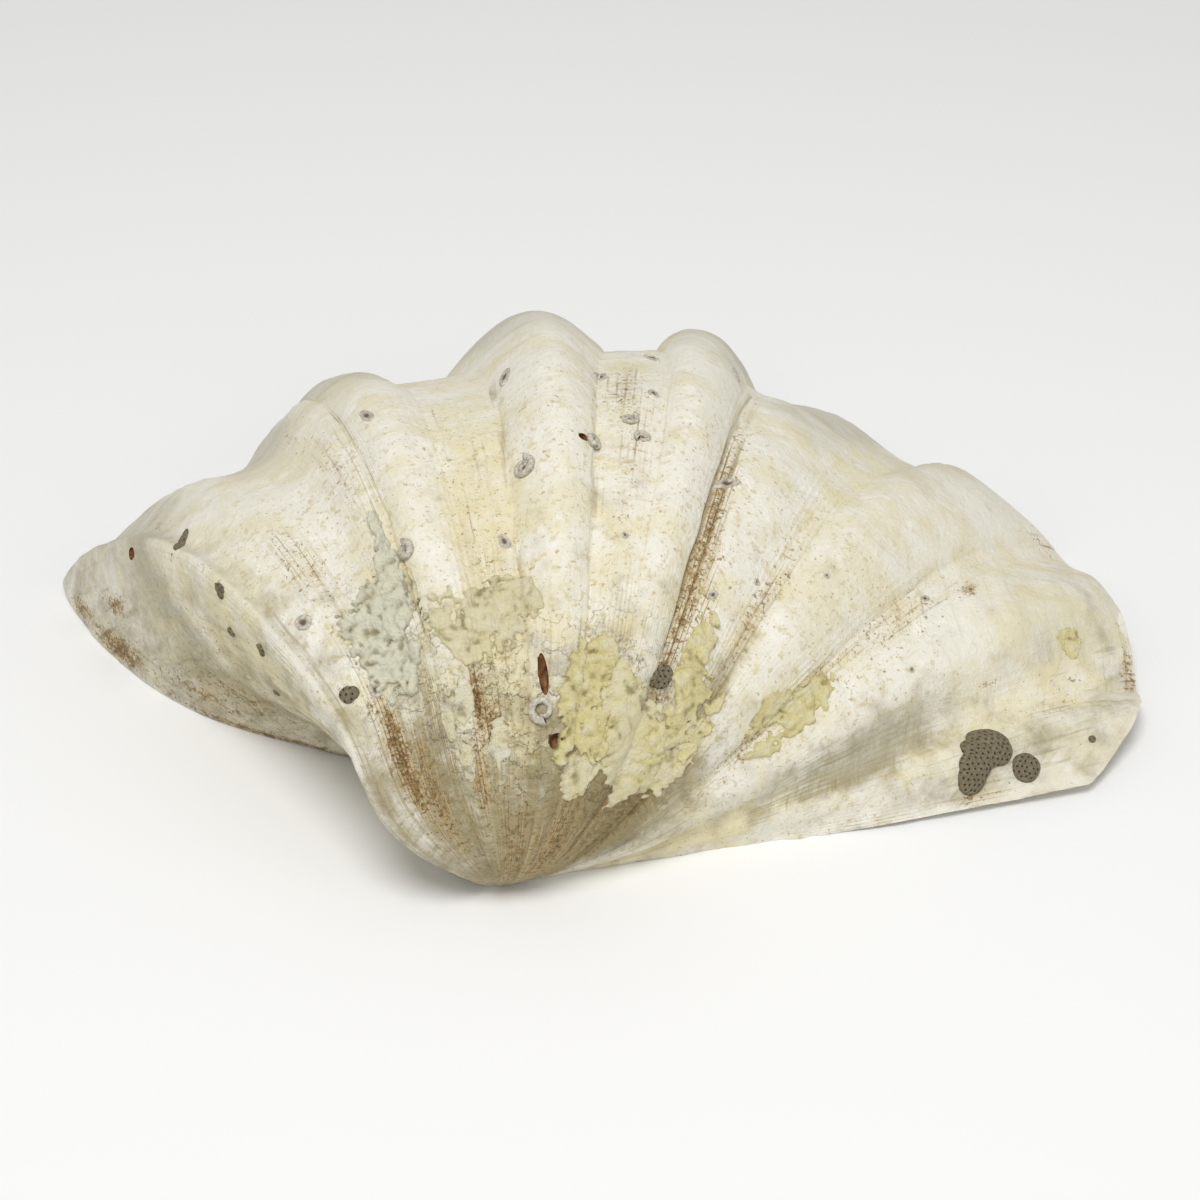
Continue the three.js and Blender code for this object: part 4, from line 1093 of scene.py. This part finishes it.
TUBE_SCARS = (  # name, middle, half sizes across and along in mm, turn in degrees
    ("scar_by_crest", 9.70, 0.663, 2.7, 7.2, 8), ("scar_at_front", 8.06, 0.667, 2.3, 6.5, 15),
    ("scar_on_second_crest", 11.23, 0.712, 2.2, 6.0, 25), ("scar_high_behind", 12.66, 0.756, 3.0, 6.0, -15),
    ("scar_in_groove", 13.29, 0.548, 2.4, 6.4, -8), ("scar_upper_dip", 10.64, 0.651, 2.6, 4.4, -10),
    ("scar_by_pair", 11.35, 0.609, 1.9, 3.4, 20), ("ring_on_keel", 4.42, 0.466, 3.2, 3.6, 0),
    ("scar_by_keel", 5.1, 0.345, 2.4, 2.8, 0), ("scar_above_crust", 9.45, 0.437, 2.2, 3.6, 10),
    ("scar_rear_dot", 15.9, 0.555, 1.2, 1.4, 0), ("scar_rear_line", 17.25, 0.655, 1.3, 2.4, 30),
    ("scar_low_dot", 17.9, 0.60, 1.2, 1.3, 0), ("scar_mid_dot", 11.15, 0.425, 1.4, 1.5, 0),
    ("scar_floor_dot", 13.75, 0.43, 1.6, 2.4, 0), ("scar_fold_dot", 14.6, 0.47, 1.3, 1.5, 0),
    ("middle_of_crest_coil", 9.75, 0.512, 2.4, 2.4, 0), ("middle_of_front_coil", 7.73, 0.462, 2.0, 2.0, 0),
    ("middle_of_near_coil", 11.03, 0.562, 1.9, 1.9, 0), ("middle_of_far_coil", 11.27, 0.54, 1.9, 1.9, 0),
)
SCAR_CELL = 0.4
SCAR_REACH = 1.75  # how far its sheet goes, as a share of its half size


def scar_height(width, length, turn):
    """Heights of a low oval lip round a middle painted dark as shade."""
    c, k = math.cos(math.radians(turn)), math.sin(math.radians(turn))

    def height_at(u, s, a, b, point):
        away = np.hypot((c * a + k * b) / width, (c * b - k * a) / length) / 1.5
        away = away + 0.06 * noise(point, 2, 91)
        height = 0.25 + bell(away, 0.75, 0.72, 0.24) - 1.6 * ramp(away, 0.85, 1.15)
        return height, {"mouth_shade": 0.9 - 0.9 * ramp(away, 0.2, 0.55)}

    return height_at


for name, u, s, width, length, turn in TUBE_SCARS:
    reach = SCAR_REACH * max(width, length)
    scar = grown_sheet(name, u, s, reach, reach, SCAR_CELL, scar_height(width, length, turn))
    scar.data.materials.append(tube_lime)
    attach(scar, "root")

# ---------------------------------------------------------------------------------------------
# The studio
# The shell lies on a wide sheet of matt white paper. A big soft light high up on the left models
# it, a weak one on the right and a white room all round fill its shadows.
# ---------------------------------------------------------------------------------------------

FLOOR_REACH = 9000  # mm each way
floor_corners = [(-1, -1, 0), (1, -1, 0), (1, 1, 0), (-1, 1, 0)]
floor = mesh_object("floor", np.array(floor_corners) * FLOOR_REACH - SHIFT, [(0, 1, 2, 3)])

# Uncoated white paper: no shine, and a faint warmth.
paper = new_material("matt_white_paper")
paper_finish = node(paper, "ShaderNodeBsdfPrincipled", {"Base Color": rgb("f8f8f7"), "Roughness": 0.9})
node(paper, "ShaderNodeOutputMaterial", {"Surface": paper_finish.outputs[0]})
floor.data.materials.append(paper)


def look_at(name, data, target, azimuth, elevation, distance):
    """Sets up a light or camera that looks at the target from that far away."""
    a, e = math.radians(azimuth), math.radians(elevation)
    outward = Vector((math.sin(a) * math.cos(e), -math.cos(a) * math.cos(e), math.sin(e)))
    made = bpy.data.objects.new(name, data)
    made.location = Vector(target) + outward * distance
    made.rotation_euler = outward.to_track_quat("Z", "Y").to_euler()
    bpy.context.scene.collection.objects.link(made)
    return made


LIGHTS = (  # name, azimuth and elevation in degrees, distance and size in m, power in W
    ("key_light", -24, 68, 2.8, 1.3, 44),
    ("fill_light", 45, 30, 2.8, 1.6, 6),
)
for name, azimuth, elevation, distance, size, power in LIGHTS:
    lamp = bpy.data.lights.new(name, "AREA")
    lamp.shape = "DISK"
    lamp.size = size
    lamp.energy = power
    look_at(name, lamp, (cad_low + cad_high) / 2, azimuth, elevation, distance)

ROOM_BRIGHTNESS = 0.46
world = bpy.data.worlds.new("white_room")
world.use_nodes = True
room = world.node_tree.nodes["Background"]
room.inputs["Color"].default_value = (1, 1, 1, 1)
room.inputs["Strength"].default_value = ROOM_BRIGHTNESS
bpy.context.scene.world = world
bpy.context.scene.view_settings.view_transform = "Standard"

CAMERA_AIM = np.array([86.83, 153.07, 59.43])  # mm from the tip of the umbo
CAMERA_PLACE = (-11.8, 38.2, 1.4)  # azimuth and elevation in degrees, and distance in m
LENS, SENSOR = 72.92, 36  # mm
lens = bpy.data.cameras.new("camera")
lens.lens = LENS
lens.sensor_width = SENSOR
lens.clip_start, lens.clip_end = 0.05, 20
camera = look_at("camera", lens, (CAMERA_AIM + SHIFT) * MM, *CAMERA_PLACE)
bpy.context.scene.camera = camera
